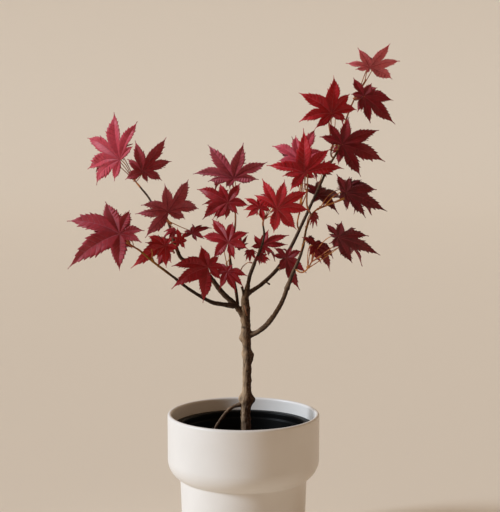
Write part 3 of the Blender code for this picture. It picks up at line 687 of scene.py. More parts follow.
def leaf_lattice():
    """Point numbers of the half lobes' grids, the blade's triangles, the shell's and their kinds.

    Half lobe 2j is lobe j's right side and 2j + 1 its left.  Both use lobe j's midrib, and two
    lobes share the ray between them as far as the notch.  The shell is the blade, its copy
    underneath turned over, and a wall along the margin, which are the edges of one triangle.
    """
    grid = np.zeros((HALVES, ROWS + 1, COLUMNS + 1), int)
    steps = np.arange(1, ROWS + 1)
    midribs = 1 + np.arange(LOBES)[:, None] * ROWS + (steps - 1)
    count = 1 + LOBES * ROWS
    rays = count + np.arange(LOBES + 1)[:, None] * NOTCH_ROWS + np.arange(NOTCH_ROWS)
    count += (LOBES + 1) * NOTCH_ROWS
    inner = (ROWS - 1) * (COLUMNS - 1)
    free = ROWS - 1 - NOTCH_ROWS
    for half in range(HALVES):
        lobe, left = divmod(half, 2)
        grid[half, 1:, 0] = midribs[lobe]
        grid[half, 1:ROWS, 1:COLUMNS] = count + np.arange(inner).reshape(ROWS - 1, -1)
        count += inner
        grid[half, 1:NOTCH_ROWS + 1, COLUMNS] = rays[lobe + left]
        grid[half, NOTCH_ROWS + 1:ROWS, COLUMNS] = count + np.arange(free)
        count += free
        grid[half, ROWS, :] = midribs[lobe, -1]
    near, far = grid[:, :-1], grid[:, 1:]
    square = np.stack([near[..., :-1], far[..., :-1], far[..., 1:], near[..., 1:]], axis=-1)
    square[::2] = square[::2, ..., ::-1]
    square = square.reshape(-1, 4)
    blade = np.vstack([square[:, [0, 1, 2]], square[:, [0, 2, 3]]])
    veins = np.zeros((HALVES, ROWS, COLUMNS), bool)
    veins[..., 0] = True
    veins[:, NOTCH_ROWS + VEIN_ROW::len(TOOTH_ROWS)] = True
    veins = np.tile(veins.ravel(), 2)
    whole = np.all(blade != np.roll(blade, 1, axis=1), axis=1)
    blade, veins = blade[whole], veins[whole]
    edges = np.vstack([blade[:, [0, 1]], blade[:, [1, 2]], blade[:, [2, 0]]])
    forward = edges[:, 0] * count + edges[:, 1]
    backward = edges[:, 1] * count + edges[:, 0]
    a, b = edges[~np.isin(forward, backward)].T
    shell = np.vstack([
        blade,
        blade[:, ::-1] + count,
        np.stack([a, a + count, b + count], axis=-1),
        np.stack([a, b + count, b], axis=-1),
    ])
    kinds = np.concatenate([
        np.where(veins, VEIN, UPPER), np.where(veins, VEIN, UNDER), np.full(2 * len(a), UPPER),
    ])
    return grid, blade, shell, kinds, count


LATTICE, BLADE_FACES, SHELL_FACES, SHELL_KINDS, BLADE_POINTS = leaf_lattice()
# Each half lobe's lobe, and whether it is its left side.
LOBE = np.repeat(np.arange(LOBES), 2)
LEFT = np.tile([0, 1], LOBES)
# How far each row beyond the notch has come to the tip, and how high its tooth stands there.
CLIMB = (np.arange(TEETH)[:, None] + np.array(TOOTH_ROWS)).ravel() / TEETH
SAW = np.tile(TOOTH_HEIGHTS, TEETH) * (ease(*TOOTH_SWELL, CLIMB) * (1.0 - ease(*TOOTH_FADE, CLIMB)))


def lobe_outline(u):
    """A lobe's width at share u of its length, at most 1: (u/m)^q ((1-u)/(1-m))^p."""
    q, p = 1.9, 2.05
    m = q / (q + p)
    u = np.clip(u, 0.0, 1.0)
    return (u / m) ** q * ((1.0 - u) / (1.0 - m)) ** p


def ruled_lobes(spread, draws):
    """Each lobe's angle and reach by the rule, right to left."""
    angles = LOBE_SIGNS * spread * LOBE_ANGLES[LOBE_RANKS] + draws[:, 0]
    return angles, LOBE_LENGTHS[LOBE_RANKS] * draws[:, 1]


def shown_lobes(tips, way, axes, droops):
    """Each lobe's angle and reach that put its tip where the front view shows it.

    A tip is its place in the leaf's plane, less face times CUP r^2 + droop (r - DROOP_START)^2.
    The place is found in SAG_ROUNDS rounds: the tip slides along the line of sight until it
    lies below the plane by the last round's sag.
    """
    along, side, face = axes
    shown = tips[:, :1] * RIGHT + tips[:, 1:] * UP
    sag = np.zeros(LOBES)
    for _ in range(SAG_ROUNDS):
        slide = -(shown @ face + sag) / (way @ face)
        place = shown + slide[:, None] * way + sag[:, None] * face
        reaches = np.linalg.norm(place, axis=1)
        sag = CUP * reaches ** 2 + droops * np.clip(reaches - DROOP_START, 0.0, None) ** 2
    angles = np.unwrap(np.arctan2(place @ side, place @ along))
    return np.degrees(angles), reaches


def half_lobes(angles, reaches, look, rng):
    """Each half lobe's end on its outer ray, as x and y, and its width.

    In a lobe's own measure x runs along its midrib and y away from it.  The outer ray lies
    midway to the next lobe, and the two half lobes share it as far as the notch.
    """
    slimmer = np.minimum((reaches.mean() / reaches) ** SLIMMING, WIDEST)
    widths = reaches * slimmer * look.lobe_width * rng.uniform(*WIDTH_PLAY)
    means = (reaches[:-1] + reaches[1:]) / 2.0
    least = np.minimum(reaches[:-1], reaches[1:])
    deeper = np.minimum((NOTCH_WIDE / np.diff(angles)) ** NOTCH_DEEPENING, 1.0)
    notch = np.minimum(NOTCH_SHARE * means, NOTCH_LIMIT * least) * deeper
    notch = notch * rng.uniform(*NOTCH_PLAY, LOBES - 1)
    notch = np.concatenate([[HEEL_REACH], notch, [HEEL_REACH]])
    between = (angles[:-1] + angles[1:]) / 2.0
    heel = (360.0 - angles[-1] + angles[0]) / 2.0 - HEEL_CLEARANCE
    ray_angles = np.concatenate([[angles[0] - heel], between, [angles[-1] + heel]])
    ray = LOBE + LEFT
    gape = np.radians(np.minimum(np.abs(ray_angles[ray] - angles[LOBE]), WIDEST_GAPE))
    width = np.minimum(widths[LOBE], CROWDING * reaches[LOBE] * np.tan(gape))
    return notch[ray] * np.cos(gape), notch[ray] * np.sin(gape), width


def toothed_rows(tip, ray_x, ray_y, width, look, rng):
    """Where each row leaves the midrib, and the x and y where it meets the margin.

    Up to the notch a row ends on the ray.  Beyond it the margin is y = width(x), saw-toothed
    forward, and each row leaves the midrib at a slant, as the side veins do.
    """
    rows = len(TOOTH_ROWS)
    size = np.repeat(rng.uniform(*TOOTH_PLAY, (HALVES, TEETH)), rows, axis=1)
    size *= np.tile(np.repeat(TOOTH_PAIR, rows), TEETH // 2)
    tooth = SAW * size * look.tooth_depth * np.sqrt(tip)[:, None]
    margin_x = ray_x[:, None] + (tip - ray_x)[:, None] * CLIMB
    flare = lobe_outline(margin_x / tip[:, None]) * width[:, None]
    start = lobe_outline(ray_x / tip) * width
    margin_y = flare + (ray_y - start)[:, None] * (1.0 - CLIMB) ** 3
    steps = np.arange(NOTCH_ROWS + 1) / NOTCH_ROWS
    edge_x = np.hstack([ray_x[:, None] * steps, margin_x])
    edge_y = np.hstack([ray_y[:, None] * steps, margin_y])
    rib_x = np.clip(edge_x - look.vein_slant * edge_y, 0.0, None)
    rib_x[:, 1:] = np.maximum.accumulate(rib_x[:, 1:], axis=1)
    rib_x = np.repeat(rib_x.reshape(LOBES, 2, -1).mean(axis=1), 2, axis=0)
    edge_x[:, NOTCH_ROWS + 1:] = np.minimum(margin_x + TOOTH_LEAN * tooth, tip[:, None])
    edge_y[:, NOTCH_ROWS + 1:] += tooth
    return rib_x, edge_x, edge_y


def row_columns(rib_x, edge_x, edge_y, rib_half):
    """Each row's points as x and y, and as shares of the way from the midrib to the margin.

    The first column keeps to the midrib's own edge, and the others are evenly spread.
    """
    span = np.hypot(edge_x - rib_x, edge_y)
    first = np.clip(rib_half / np.maximum(span, 1e-6), *RIB_SHARES)[..., None]
    columns = np.linspace(0.0, 1.0, COLUMNS)[1:]
    shares = np.concatenate([np.zeros_like(first), first, first + (1.0 - first) * columns], axis=2)
    x = rib_x[..., None] + (edge_x - rib_x)[..., None] * shares
    return x, edge_y[..., None] * shares, shares


def thick_blade(points, half):
    """The blade's upper and lower points, half a thickness off along its normals.

    Along the midribs the upper face is sunk, and the underside stands proud.
    """
    corners = points[BLADE_FACES]
    normal = np.cross(corners[:, 1] - corners[:, 0], corners[:, 2] - corners[:, 0])
    normals = np.zeros_like(points)
    for k in range(3):
        np.add.at(normals, BLADE_FACES[:, k], normal)
    normals = unit(normals)
    rib = np.zeros((BLADE_POINTS, 1))
    rib[LATTICE[:, :, 0]] = 1.0
    upper = points + normals * (half - RIB_SUNK * rib)
    return np.vstack([upper, points - normals * (half + RIB_PROUD * rib)])


def leaf_shell(leaf, look, rng):
    """One leaf as a closed thin shell, with its reach mark.

    The blade lifts by a fold that rises with y, quilting between the side veins, waves at the
    margin and each lobe's twist, less the cup and the droop that grow with x squared.  A lobe
    also arches: between its heart and its tip it is raised by arch r (1 - x / tip) times how
    level it runs.
    """
    centre, length, axes, spread, tips, draws = leaf
    along, side, face = axes
    droops = rng.uniform(*DROOP_PLAY, LOBES) * look.droop
    if tips is None:
        angles, reaches = ruled_lobes(spread, draws)
    else:
        shown = np.array(tips) * ((centre - EYE) @ AHEAD / (FOCUS * PIXEL) / length)
        angles, reaches = shown_lobes(shown, unit(centre - EYE), axes, droops)
    ray_x, ray_y, width = half_lobes(angles, reaches, look, rng)
    tip = reaches[LOBE]
    rib_x, edge_x, edge_y = toothed_rows(tip, ray_x, ray_y, width, look, rng)
    rib_half = look.rib_width / 2.0 / MM / length * (1.0 - RIB_TAPER * (rib_x / tip[:, None]))
    x, y, shares = row_columns(rib_x, edge_x, edge_y, rib_half)

    free_x = np.repeat(np.maximum(ray_x[0::2], ray_x[1::2]), 2)
    tip, turn, droop, free_x, hand = (
        values[:, None, None]
        for values in (tip, np.radians(angles)[LOBE], droops[LOBE], free_x, 2.0 * LEFT - 1.0)
    )
    beyond = np.clip(x - free_x, 0.0, None)
    run = np.maximum(tip - free_x, 0.01)
    sway = rng.uniform(-1.0, 1.0, LOBES)[LOBE][:, None, None] * look.sway
    twist = rng.uniform(-1.0, 1.0, LOBES)[LOBE][:, None, None] * look.twist
    ripple = rng.uniform(0.0, 2.0 * pi, HALVES)[:, None, None]
    outward = ease(0.0, FREE_REACH, beyond)
    fold = look.fold * (np.sqrt(y * y + FOLD_ROUND) - FOLD_ROOT) - FOLD_FALL * y * y
    vein_rows = np.concatenate([np.zeros(NOTCH_ROWS + 1), SAW])[None, :, None]
    quilt = -look.quilt * vein_rows * shares * (1.0 - QUILT_FADE * shares)
    wave = WAVE_HEIGHT * outward * shares * np.sin(x * WAVE_RATE + ripple)
    lift = fold + quilt + wave + twist * y * hand * outward
    across = hand * y + sway * beyond * (run - beyond) / run
    flat_x = x * np.cos(turn) - across * np.sin(turn)
    flat_y = x * np.sin(turn) + across * np.cos(turn)
    lift = lift - CUP * (flat_x ** 2 + flat_y ** 2)
    radius = np.hypot(flat_x, flat_y)
    level = np.abs(flat_x * side[2] - flat_y * along[2]) / np.maximum(radius, 1e-6)
    arch = look.arch * radius * np.clip(1.0 - x / tip, 0.0, 1.0) * level
    lift = lift - droop * np.clip(x - DROOP_START, 0.0, None) ** 2

    blade = np.zeros((BLADE_POINTS, 3))
    blade[LATTICE] = np.stack([flat_x + arch * along[2], flat_y + arch * side[2], lift], axis=-1)
    blade = centre + (blade @ np.stack([along, side, face])) * length
    reach = np.zeros(BLADE_POINTS)
    reach[LATTICE] = x / tip
    points = thick_blade(blade, look.thickness / MM / 2.0)
    return (points, SHELL_FACES), np.tile(reach, 2)


def lobe_draws(chance):
    """Each lobe's turn and stretch, drawn right to left as the source draws them."""
    draws = []
    for _ in range(LOBES):
        turn = chance.uniform(-ANGLE_PLAY, ANGLE_PLAY)
        draws.append((turn, 1.0 + chance.uniform(-LENGTH_PLAY, LENGTH_PLAY)))
    return np.array(draws)


def placed_leaf(row):
    """A leaf's tint, centre, length, axes, spread and tips from its row in the front view."""
    x, z, depth, length, turn, way, lean, spread, tint, *tips = row
    axes = lean_frame(turn, way, lean)
    return tint, seen((x, z, depth))[0], length, axes, spread, tips[0] if tips else None


def leaves_behind(front, looks, chance):
    """The leaves behind the front ones, looking up and outward or to the back."""
    grown = []
    for k, look in enumerate(looks):
        x, z, depth, length, turn, way, lean, spread, tint = front[k % len(front)][:9]
        height = z + chance.uniform(-HEIGHT_PLAY, HEIGHT_PLAY)
        along, _, face = lean_frame(turn, way, lean)
        if look == "up":
            outward = 1.0 if x > 0 else -1.0
            back = depth + UP_LEAF_DEPTH + chance.uniform(0.0, UP_LEAF_DEPTH_PLAY)
            droop = chance.uniform(-UP_LEAF_DROOP, 0.0)
            tuck = along * (UP_LEAF_TUCK * length)
            along = (outward * UP_LEAF_ALONG[0], UP_LEAF_ALONG[1], droop)
            axes = free_frame(along, (outward * UP_LEAF_FACE[0], *UP_LEAF_FACE[1:]))
            spread = 1.0
        else:
            back = depth + BACK_LEAF_DEPTH + chance.uniform(0.0, BACK_LEAF_DEPTH_PLAY)
            tuck = 0.0
            axes = free_frame(along, -face)
        centre = seen((x, height, back))[0] + tuck
        grown.append((QUIETER[tint][k % 2], centre, BEHIND_SHARE * length, axes, spread, None))
    return grown


def finer_leaves(front, chance):
    """Small leaves that grow on behind each front leaf and look to its sides.

    They hang FINER_DEPTH of the front leaf's length behind its middle lobe's root, so the front
    view hides them behind its blade, and their own middle lobes point to the back.
    """
    grown = []
    for row in front:
        tint, heart, length, (along, side, _) = placed_leaf(row)[:4]
        lean = row[6]
        for hand in (1.0, -1.0)[:2 if length > FINER_PAIR_LENGTH else 1]:
            back = np.array([0.0, chance.uniform(*FINER_DEPTH) / cos(radians(lean)), 0.0])
            drift = along * chance.uniform(*FINER_ALONG) + side * chance.uniform(*FINER_ASIDE) * hand
            centre = heart + (back + drift) * length
            onward = (FINER_OUT * hand, 1.0, chance.uniform(*FINER_RISE))
            axes = free_frame(onward, (hand, chance.uniform(*FINER_TILT), FINER_UP))
            share = chance.uniform(*FINER_SHARE)
            quiet = QUIETER[tint][chance.randrange(2)]
            grown.append((quiet, centre, share * length, axes, FINER_SPREAD, None))
    return grown


def mass_stem(limb, share, stem_end):
    """A mass's root on its limb, its stem from there to where the last stalk parts, its radius."""
    route, radii = limb_rows(limb, COARSE_STEP)
    spot = min(len(route) - 1, round(share * (len(route) - 1)))
    root, limb_radius = route[spot], radii[spot]
    end = seen(stem_end)[0]
    if share == 1.0:
        heading = unit(root - route[-2])
        start = root + heading * GAP
        stem_radius = limb_radius
    else:
        run = unit(route[spot + 1] - root)
        heading = end - root
        heading = unit(heading - run * (heading @ run))
        start = root + heading * (limb_radius + GAP + SIDE_SEAT)
        stem_radius = TWIG_RADIUS
    pull = start + heading * (STEM_PULL * np.linalg.norm(end - start))
    return root, bent(start, pull, end, STALK_STEPS), stem_radius


def grow_mass(mass):
    """A mass's root on its limb, stem, stem radius and leaves, as the source grows them."""
    limb, share, stem_end, seed, looks, front = mass
    chance = Random(seed)
    leaves = [placed_leaf(row) for row in front]
    leaves += leaves_behind(front, looks, chance)
    leaves += finer_leaves(front, Random(seed + 100))
    return (*mass_stem(limb, share, stem_end), [(*leaf, lobe_draws(chance)) for leaf in leaves])


def feed(node, inputs):
    """Sets a node's inputs.

    An input is a value, an output socket that is linked to it, or a node, whose first output in
    use is linked to it.
    """
    for key, value in inputs.items():
        if isinstance(value, bpy.types.Node):
            value = next(output for output in value.outputs if output.enabled)
        if isinstance(value, bpy.types.NodeSocket):
            node.id_data.links.new(value, node.inputs[key])
        else:
            node.inputs[key].default_value = value


def add_node(tree, kind, inputs=None, **settings):
    """Adds a node with its settings and its inputs, as feed() takes them."""
    node = tree.nodes.new(kind)
    for key, value in settings.items():
        setattr(node, key, value)
    feed(node, inputs or {})
    return node


def new_material(name, inputs):
    """A material with a Principled shader, its uniform numbers set on the shader's own sockets."""
    material = bpy.data.materials.new(name)
    material.use_nodes = True
    shader = material.node_tree.nodes["Principled BSDF"]
    feed(shader, inputs)
    return material, material.node_tree, shader


def matt_glazed_stoneware(look):
    """Slip-cast stoneware under a matt white glaze: pale, even, a little soft in its gloss.

    The glaze pools in hardly visible clouds about 30 mm wide and has a fine orange-peel skin.
    """
    material, tree, shader = new_material("matt_glazed_stoneware", {
        "Roughness": 0.42, "IOR": 1.5, "Coat Weight": 0.12, "Coat Roughness": 0.3,
    })
    place = add_node(tree, "ShaderNodeTexCoord").outputs["Object"]
    clouds = add_node(tree, "ShaderNodeTexNoise", {
        "Vector": place, "Scale": 1.0 / 0.030, "Detail": 3.0, "Roughness": 0.5,
    })
    tone = add_node(tree, "ShaderNodeMix", {
        0: clouds, 6: look.glaze, 7: look.glaze_shade,
    }, data_type="RGBA")
    peel = add_node(tree, "ShaderNodeTexNoise", {
        "Vector": place, "Scale": 1.0 / 0.0016, "Detail": 2.0, "Roughness": 0.5,
    })
    bump = add_node(tree, "ShaderNodeBump", {"Height": peel, "Strength": 0.12, "Distance": 0.0002})
    feed(shader, {"Base Color": tone, "Normal": bump})
    return material


def moulded_polypropylene(look):
    """Black injection-moulded polypropylene: a soft gloss with a faint drawn grain."""
    material, tree, shader = new_material("moulded_polypropylene", {
        "Base Color": look.liner, "Roughness": 0.4, "IOR": 1.2,
    })
    place = add_node(tree, "ShaderNodeTexCoord").outputs["Object"]
    grain = add_node(tree, "ShaderNodeTexNoise", {
        "Vector": place, "Scale": 1.0 / 0.0009, "Detail": 3.0,
    })
    gloss = add_node(tree, "ShaderNodeMapRange", {"Value": grain, "To Min": 0.34, "To Max": 0.48})
    bump = add_node(tree, "ShaderNodeBump", {"Height": grain, "Strength": 0.15, "Distance": 0.0001})
    feed(shader, {"Roughness": gloss, "Normal": bump})
    return material


def moist_potting_soil(look):
    """Peat-based potting soil, kept moist: near black, matt, with browner fibres about 2 mm long."""
    material, tree, shader = new_material("moist_potting_soil", {"Roughness": 0.95, "IOR": 1.05})
    place = add_node(tree, "ShaderNodeTexCoord").outputs["Object"]
    lumps = add_node(tree, "ShaderNodeTexNoise", {
        "Vector": place, "Scale": 1.0 / 0.002, "Detail": 6.0, "Roughness": 0.7,
    })
    tone = add_node(tree, "ShaderNodeMix", {
        0: lumps, 6: look.soil_dark, 7: look.soil_light,
    }, data_type="RGBA")
    bump = add_node(tree, "ShaderNodeBump", {"Height": lumps, "Strength": 0.8, "Distance": 0.0012})
    feed(shader, {"Base Color": tone, "Normal": bump})
    return material


def maple_bark(look):
    """Bark of a young maple: matt brown, darker and redder on young boughs.

    The age mark goes from young to old wood, and a second one is painted light: a paler tone on the
    side that faces the key light.  The fresh mark is this year's golden wood.  Flecks about 1.5 mm
    wide and fine grain vary it, the relief mark darkens the furrows that the mesh itself has and
    its sunk scars as painted shade, and healed scars are a pale red-brown.
    """
    material, tree, shader = new_material("maple_bark", {
        "Roughness": 0.8, "Specular IOR Level": 0.25,
    })
    place = add_node(tree, "ShaderNodeTexCoord").outputs["Object"]
    age, painted_light, fresh, relief, healed = (
        add_node(tree, "ShaderNodeAttribute", attribute_name=mark).outputs["Fac"]
        for mark in ("age", "painted_light", "fresh", "relief", "healed")
    )
    flecks = add_node(tree, "ShaderNodeTexNoise", {
        "Vector": place, "Scale": 1.0 / 0.0015, "Detail": 5.0, "Roughness": 0.65,
    })
    fleck_share = add_node(tree, "ShaderNodeMapRange", {
        "Value": flecks, "From Min": 0.5, "From Max": 0.72, "To Max": 0.4,
    })
    # Darker where the relief is low, in the mesh's furrows and sunk scars: painted shade.
    furrow_shade_share = add_node(tree, "ShaderNodeMapRange", {
        "Value": relief, "From Min": -0.6, "From Max": 0.4, "To Min": 0.8, "To Max": 0.0,
    })
    # The shaded tones are the bark's own, and the paler copies are painted light for the side that
    # faces the key light.
    shaded, painted_lit_bark = (
        add_node(tree, "ShaderNodeMix", {0: age, 6: young, 7: old}, data_type="RGBA")
        for young, old in (
            (look.young_bark, look.old_bark), (look.young_bark_painted_light, look.old_bark_painted_light),
        )
    )
    tone = shaded
    for share, other in (
        (painted_light, painted_lit_bark), (fleck_share, look.bark_fleck), (fresh, look.fresh_bark),
        (healed, look.bark_scar), (furrow_shade_share, look.painted_furrow_shade),
    ):
        tone = add_node(tree, "ShaderNodeMix", {0: share, 6: tone, 7: other}, data_type="RGBA")
    grain = add_node(tree, "ShaderNodeTexNoise", {
        "Vector": place, "Scale": 1.0 / 0.0006, "Detail": 4.0, "Roughness": 0.6,
    })
    bump = add_node(tree, "ShaderNodeBump", {"Height": grain, "Strength": 0.8, "Distance": 0.0004})
    feed(shader, {"Base Color": tone, "Normal": bump})
    return material


def young_twig(name, low, high):
    """Skin of this year's twigs and leaf stalks: smooth, a little waxy, streaked in two tones."""
    material, tree, shader = new_material(name, {"Roughness": 0.5, "IOR": 1.45})
    place = add_node(tree, "ShaderNodeTexCoord").outputs["Object"]
    streaks = add_node(tree, "ShaderNodeTexNoise", {
        "Vector": place, "Scale": 1.0 / 0.006, "Detail": 3.0,
    })
    share = add_node(tree, "ShaderNodeMapRange", {
        "Value": streaks, "From Min": 0.35, "From Max": 0.65,
    })
    tone = add_node(tree, "ShaderNodeMix", {0: share, 6: low, 7: high}, data_type="RGBA")
    feed(shader, {"Base Color": tone})
    return material


def blend_hex(code, other, share):
    """The colour part of the way from one sRGB hex colour to another."""
    pairs = ((int(code[i:i + 2], 16), int(other[i:i + 2], 16)) for i in (1, 3, 5))
    return "#" + "".join(f"{round(a + (b - a) * share):02X}" for a, b in pairs)


def maple_leaf(name, code, bloom_and_painted_sheen):
    """A living maple leaf: thin, with a waxy skin whose sheen turns light pale.

    Blotches about 4 mm wide vary the tint, the heart is darker as painted shade and the lobes'
    tips paler as painted sheen, and cells about 0.8 mm wide, drawn coarser than life, roughen the
    skin.
    """
    base = linear(code)
    deep = (*(HEART_SHADE * part for part in base[:3]), 1.0)
    # The tone painted towards the lobes' tips, as painted sheen.
    pale = linear(blend_hex(code, PAINTED_SHEEN_TONE, bloom_and_painted_sheen))
    material, tree, shader = new_material(name, {
        "Roughness": 0.5, "Specular IOR Level": 0.22, "Sheen Weight": 0.7 * bloom_and_painted_sheen,
        "Sheen Roughness": 0.5, "Sheen Tint": linear(SHEEN_TONE), "Coat Weight": 0.1,
        "Coat Roughness": 0.4,
    })
    place = add_node(tree, "ShaderNodeTexCoord").outputs["Object"]
    reach = add_node(tree, "ShaderNodeAttribute", attribute_name="reach").outputs["Fac"]
    blotches = add_node(tree, "ShaderNodeTexNoise", {
        "Vector": place, "Scale": 1.0 / 0.0035, "Detail": 6.0, "Roughness": 0.72,
    })
    tone = base
    for source, low, high, first, last, other in (
        (blotches, 0.38, 0.64, 0.0, 0.7, deep),
        # Darker towards the heart, where the cupped lobes meet: painted shade.
        (reach, 0.0, 0.5, 0.6, 0.0, deep),
        # Paler towards the lobes' tips: painted sheen.
        (reach, 0.3, 0.95, 0.0, 0.9, pale),
    ):
        share = add_node(tree, "ShaderNodeMapRange", {
            "Value": source, "From Min": low, "From Max": high, "To Min": first, "To Max": last,
        })
        tone = add_node(tree, "ShaderNodeMix", {0: share, 6: tone, 7: other}, data_type="RGBA")
    cells = add_node(tree, "ShaderNodeTexVoronoi", {
        "Vector": place, "Scale": 1.0 / 0.0008,
    }, feature="DISTANCE_TO_EDGE")
    bump = add_node(tree, "ShaderNodeBump", {"Height": cells, "Strength": 0.2, "Distance": 0.0002})
    feed(shader, {"Base Color": tone, "Normal": bump})
    return material


def placed(item, slot, *nodes):
    """Rides an object on the plant's body and hides the nodes it replaces.  Its slot is not used."""
    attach(item, BODY)
    if nodes:
        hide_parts(*nodes)
    return item


def colour(name, description, code):
    """A colour in the panel, its default an sRGB hex colour."""
    return bpy.props.FloatVectorProperty(
        name=name, description=description, size=4, subtype="COLOR", default=linear(code),
    )


def measure(name, description, default, **unit):
    """A number in the panel, with its unit or subtype."""
    return bpy.props.FloatProperty(name=name, description=description, default=default, **unit)


class PlanterSettings(bpy.types.PropertyGroup):
    """Sizes and colours of the planter, the grow pot and the soil."""

    sides: bpy.props.IntProperty(
        name="Sides", description="Facets round a turned part", default=160, min=32,
    )
    rim_wall: measure("Rim wall", "Thickness of the rim", 0.0037, unit="LENGTH")
    glaze: colour("Glaze", "Matt white glaze", "#F1EDE8")
    glaze_shade: colour("Thin glaze", "Where the glaze is thinner", "#E9E4DD")
    liner: colour("Grow pot", "Black moulded plastic", "#050505")
    soil_dark: colour("Moist soil", "Darkest soil", "#080604")
    soil_light: colour("Soil fibres", "Palest soil", "#150E09")
    crumbs: bpy.props.IntProperty(
        name="Crumbs", description="Loose crumbs on the soil", default=1400, min=0,
    )
    crumb_size: measure("Crumb size", "Radius of an average crumb", 0.0008, unit="LENGTH")


class BarkSettings(bpy.types.PropertyGroup):
    """The bark skin of the trunk and boughs."""

    grain: measure("Grain", "Distance between the skin's points", 0.00042, unit="LENGTH")
    lump: measure("Lumps", "Height of the broad lumps on the trunk", 0.00042, unit="LENGTH")
    furrow: measure("Furrows", "Depth of the lengthwise furrows", 0.00034, unit="LENGTH")
    old_bark: colour("Old bark", "Bark of the trunk", "#4E3324")
    # Paler bark tone painted on the trunk's side that faces the key light, as painted light.
    old_bark_painted_light: colour("Old bark, painted light", "Bark of the trunk towards the light", "#CCAD8C")
    young_bark: colour("Young bark", "Bark of thin boughs", "#2C1B12")
    # Paler bark tone painted on thin boughs' side that faces the key light, as painted light.
    young_bark_painted_light: colour(
        "Young bark, painted light", "Bark of thin boughs towards the light", "#674B35",
    )
    fresh_bark: colour("Fresh bark", "Skin of this year's wood", "#A8702C")
    bark_scar: colour("Healed scar", "Wood of a healed scar", "#B07E62")
    bark_fleck: colour("Flecks", "Pale flecks", "#B09A80")
    # Painted shade for the furrows and sunk scars.
    painted_furrow_shade: colour("Furrow tone", "Dark of the furrows", "#22140E")
    twig_low: colour("Twig shade", "Darker tone of twigs", "#6A3418")
    twig_high: colour("Twig light", "Lighter tone of twigs", "#B8702E")
    stalk_low: colour("Stalk red", "Redder tone of leaf stalks", "#963820")
    stalk_high: colour("Stalk gold", "Golden tone of leaf stalks", "#C88838")


class LeafSettings(bpy.types.PropertyGroup):
    """The shape of every leaf.  Shares are of the leaf's own length."""

    thickness: measure("Thickness", "Thickness of the blade", 0.00035, unit="LENGTH")
    rib_width: measure(
        "Midrib width", "Width of a lobe's midrib at the heart", 0.0010, unit="LENGTH",
    )
    vein_slant: measure("Vein slant", "How far forward the side veins run", 0.85)
    quilt: measure("Quilting", "Depth of the side veins as a share", 0.0045)
    lobe_width: measure("Lobe width", "Half width of a lobe as a share of its length", 0.166)
    tooth_depth: measure("Tooth depth", "Depth of a tooth as a share", 0.034)
    fold: measure("Fold", "Slope of the half lobes up from the midrib", 0.58)
    twist: measure("Twist", "Greatest twist of a lobe", 0.35)
    sway: measure("Sway", "Greatest sideways bend of a lobe", 0.16)
    arch: measure("Arch", "How much higher a lobe leaves the heart than its tip lies", 0.40)
    droop: measure("Droop", "Greatest droop of a lobe's tip", 0.30)
    # The same weight also pales the leaves' tips as painted sheen.
    bloom_and_painted_sheen: measure("Bloom", "Least weight of the waxy sheen", 0.06, subtype="FACTOR")
    underside: measure("Underside", "How much greyer the underside is", 0.3, subtype="FACTOR")


class StageSettings(bpy.types.PropertyGroup):
    """Floor, backdrop, lights and camera."""

    floor: colour("Floor", "Pale plain floor and backdrop", "#F5E8D5")
    key_strength: measure("Key light", "Strength of the soft light from the left", 2.95)
    key_tone: colour("Key tone", "Cool tone of the key light", "#E3F1FF")
    key_softness: measure(
        "Key softness", "How wide the key light looks from the plant", radians(16.0),
        subtype="ANGLE",
    )
    key_side: measure(
        "Key side", "How far left of the viewer the key light stands", radians(74.0),
        subtype="ANGLE",
    )
    key_height: measure(
        "Key height", "How high the key light stands", radians(28.0), subtype="ANGLE",
    )
    ambient: measure("Ambient", "Strength of the even light all round", 0.238)
    ambient_tone: colour("Ambient tone", "Warm tone of the even light", "#FFD2A2")
    horizon: colour("Horizon", "Pale tone beyond the floor's end", "#BDAE9E")
    eye: bpy.props.FloatVectorProperty(
        name="Eye", description="Where the camera stands", size=3, default=EYE * MM,
        subtype="TRANSLATION", unit="LENGTH",
    )
    tilt: measure("Tilt", "How far the camera looks down", LOOK_DOWN, subtype="ANGLE")
    turn: measure("Turn", "How far the camera looks to the right", LOOK_RIGHT, subtype="ANGLE")
    lens: measure("Lens", "Focal length in millimetres", LENS, unit="CAMERA")


class MAPLE_OT_planter(bpy.types.Operator):
    """Turns the stepped white planter"""

    bl_idname = "maple.planter"
    bl_label = "Planter"

    def execute(self, context):
        look = context.scene.maple_planter
        _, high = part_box("planter")
        rim, height = high.x / MM, high.z / MM
        wall = look.rim_wall / MM
        body_top, body_foot, lining, floor = 58.5, 56.0, 4.0, 8.0
        shoulder, shoulder_radius, crease = height - 42.0, 20.5, -63.0
        step_foot = shoulder + shoulder_radius * sin(radians(crease))
        outside = [
            (0.0, 0.0, 0.0),
            (body_foot - 2.0, 0.0, 0.0),
            (body_foot, 0.4, 1.5),
            (body_top, step_foot - 1.2, 0.5),
            (rim - shoulder_radius * (1.0 - cos(radians(crease))), step_foot, 0.0),
        ]
        inside = [
            (rim - wall, height - wall / 2.0, 0.0),
            (rim - wall, shoulder - lining, 6.0),
            (body_top - lining, step_foot - lining, 6.0),
            (body_foot - lining, floor + 2.0, 3.0),
            (body_foot - 7.0, floor, 0.0),
            (0.0, floor, 0.0),
        ]
        profile = np.vstack([
            eased_profile(outside, 1.6),
            arc((rim - shoulder_radius, shoulder), shoulder_radius, crease, 0.0, 20)[1:],
            np.linspace((rim, shoulder), (rim, height - wall / 2.0), 26)[1:],
            arc((rim - wall / 2.0, height - wall / 2.0), wall / 2.0, 0.0, 180.0, 14)[1:],
            eased_profile(inside, 2.0)[1:],
        ])
        points, faces = turned_shell(profile, look.sides)
        item = mesh_object("planter_glazed", points, faces, [matt_glazed_stoneware(look)])
        placed(item, "ceramic", "planter")
        return {"FINISHED"}


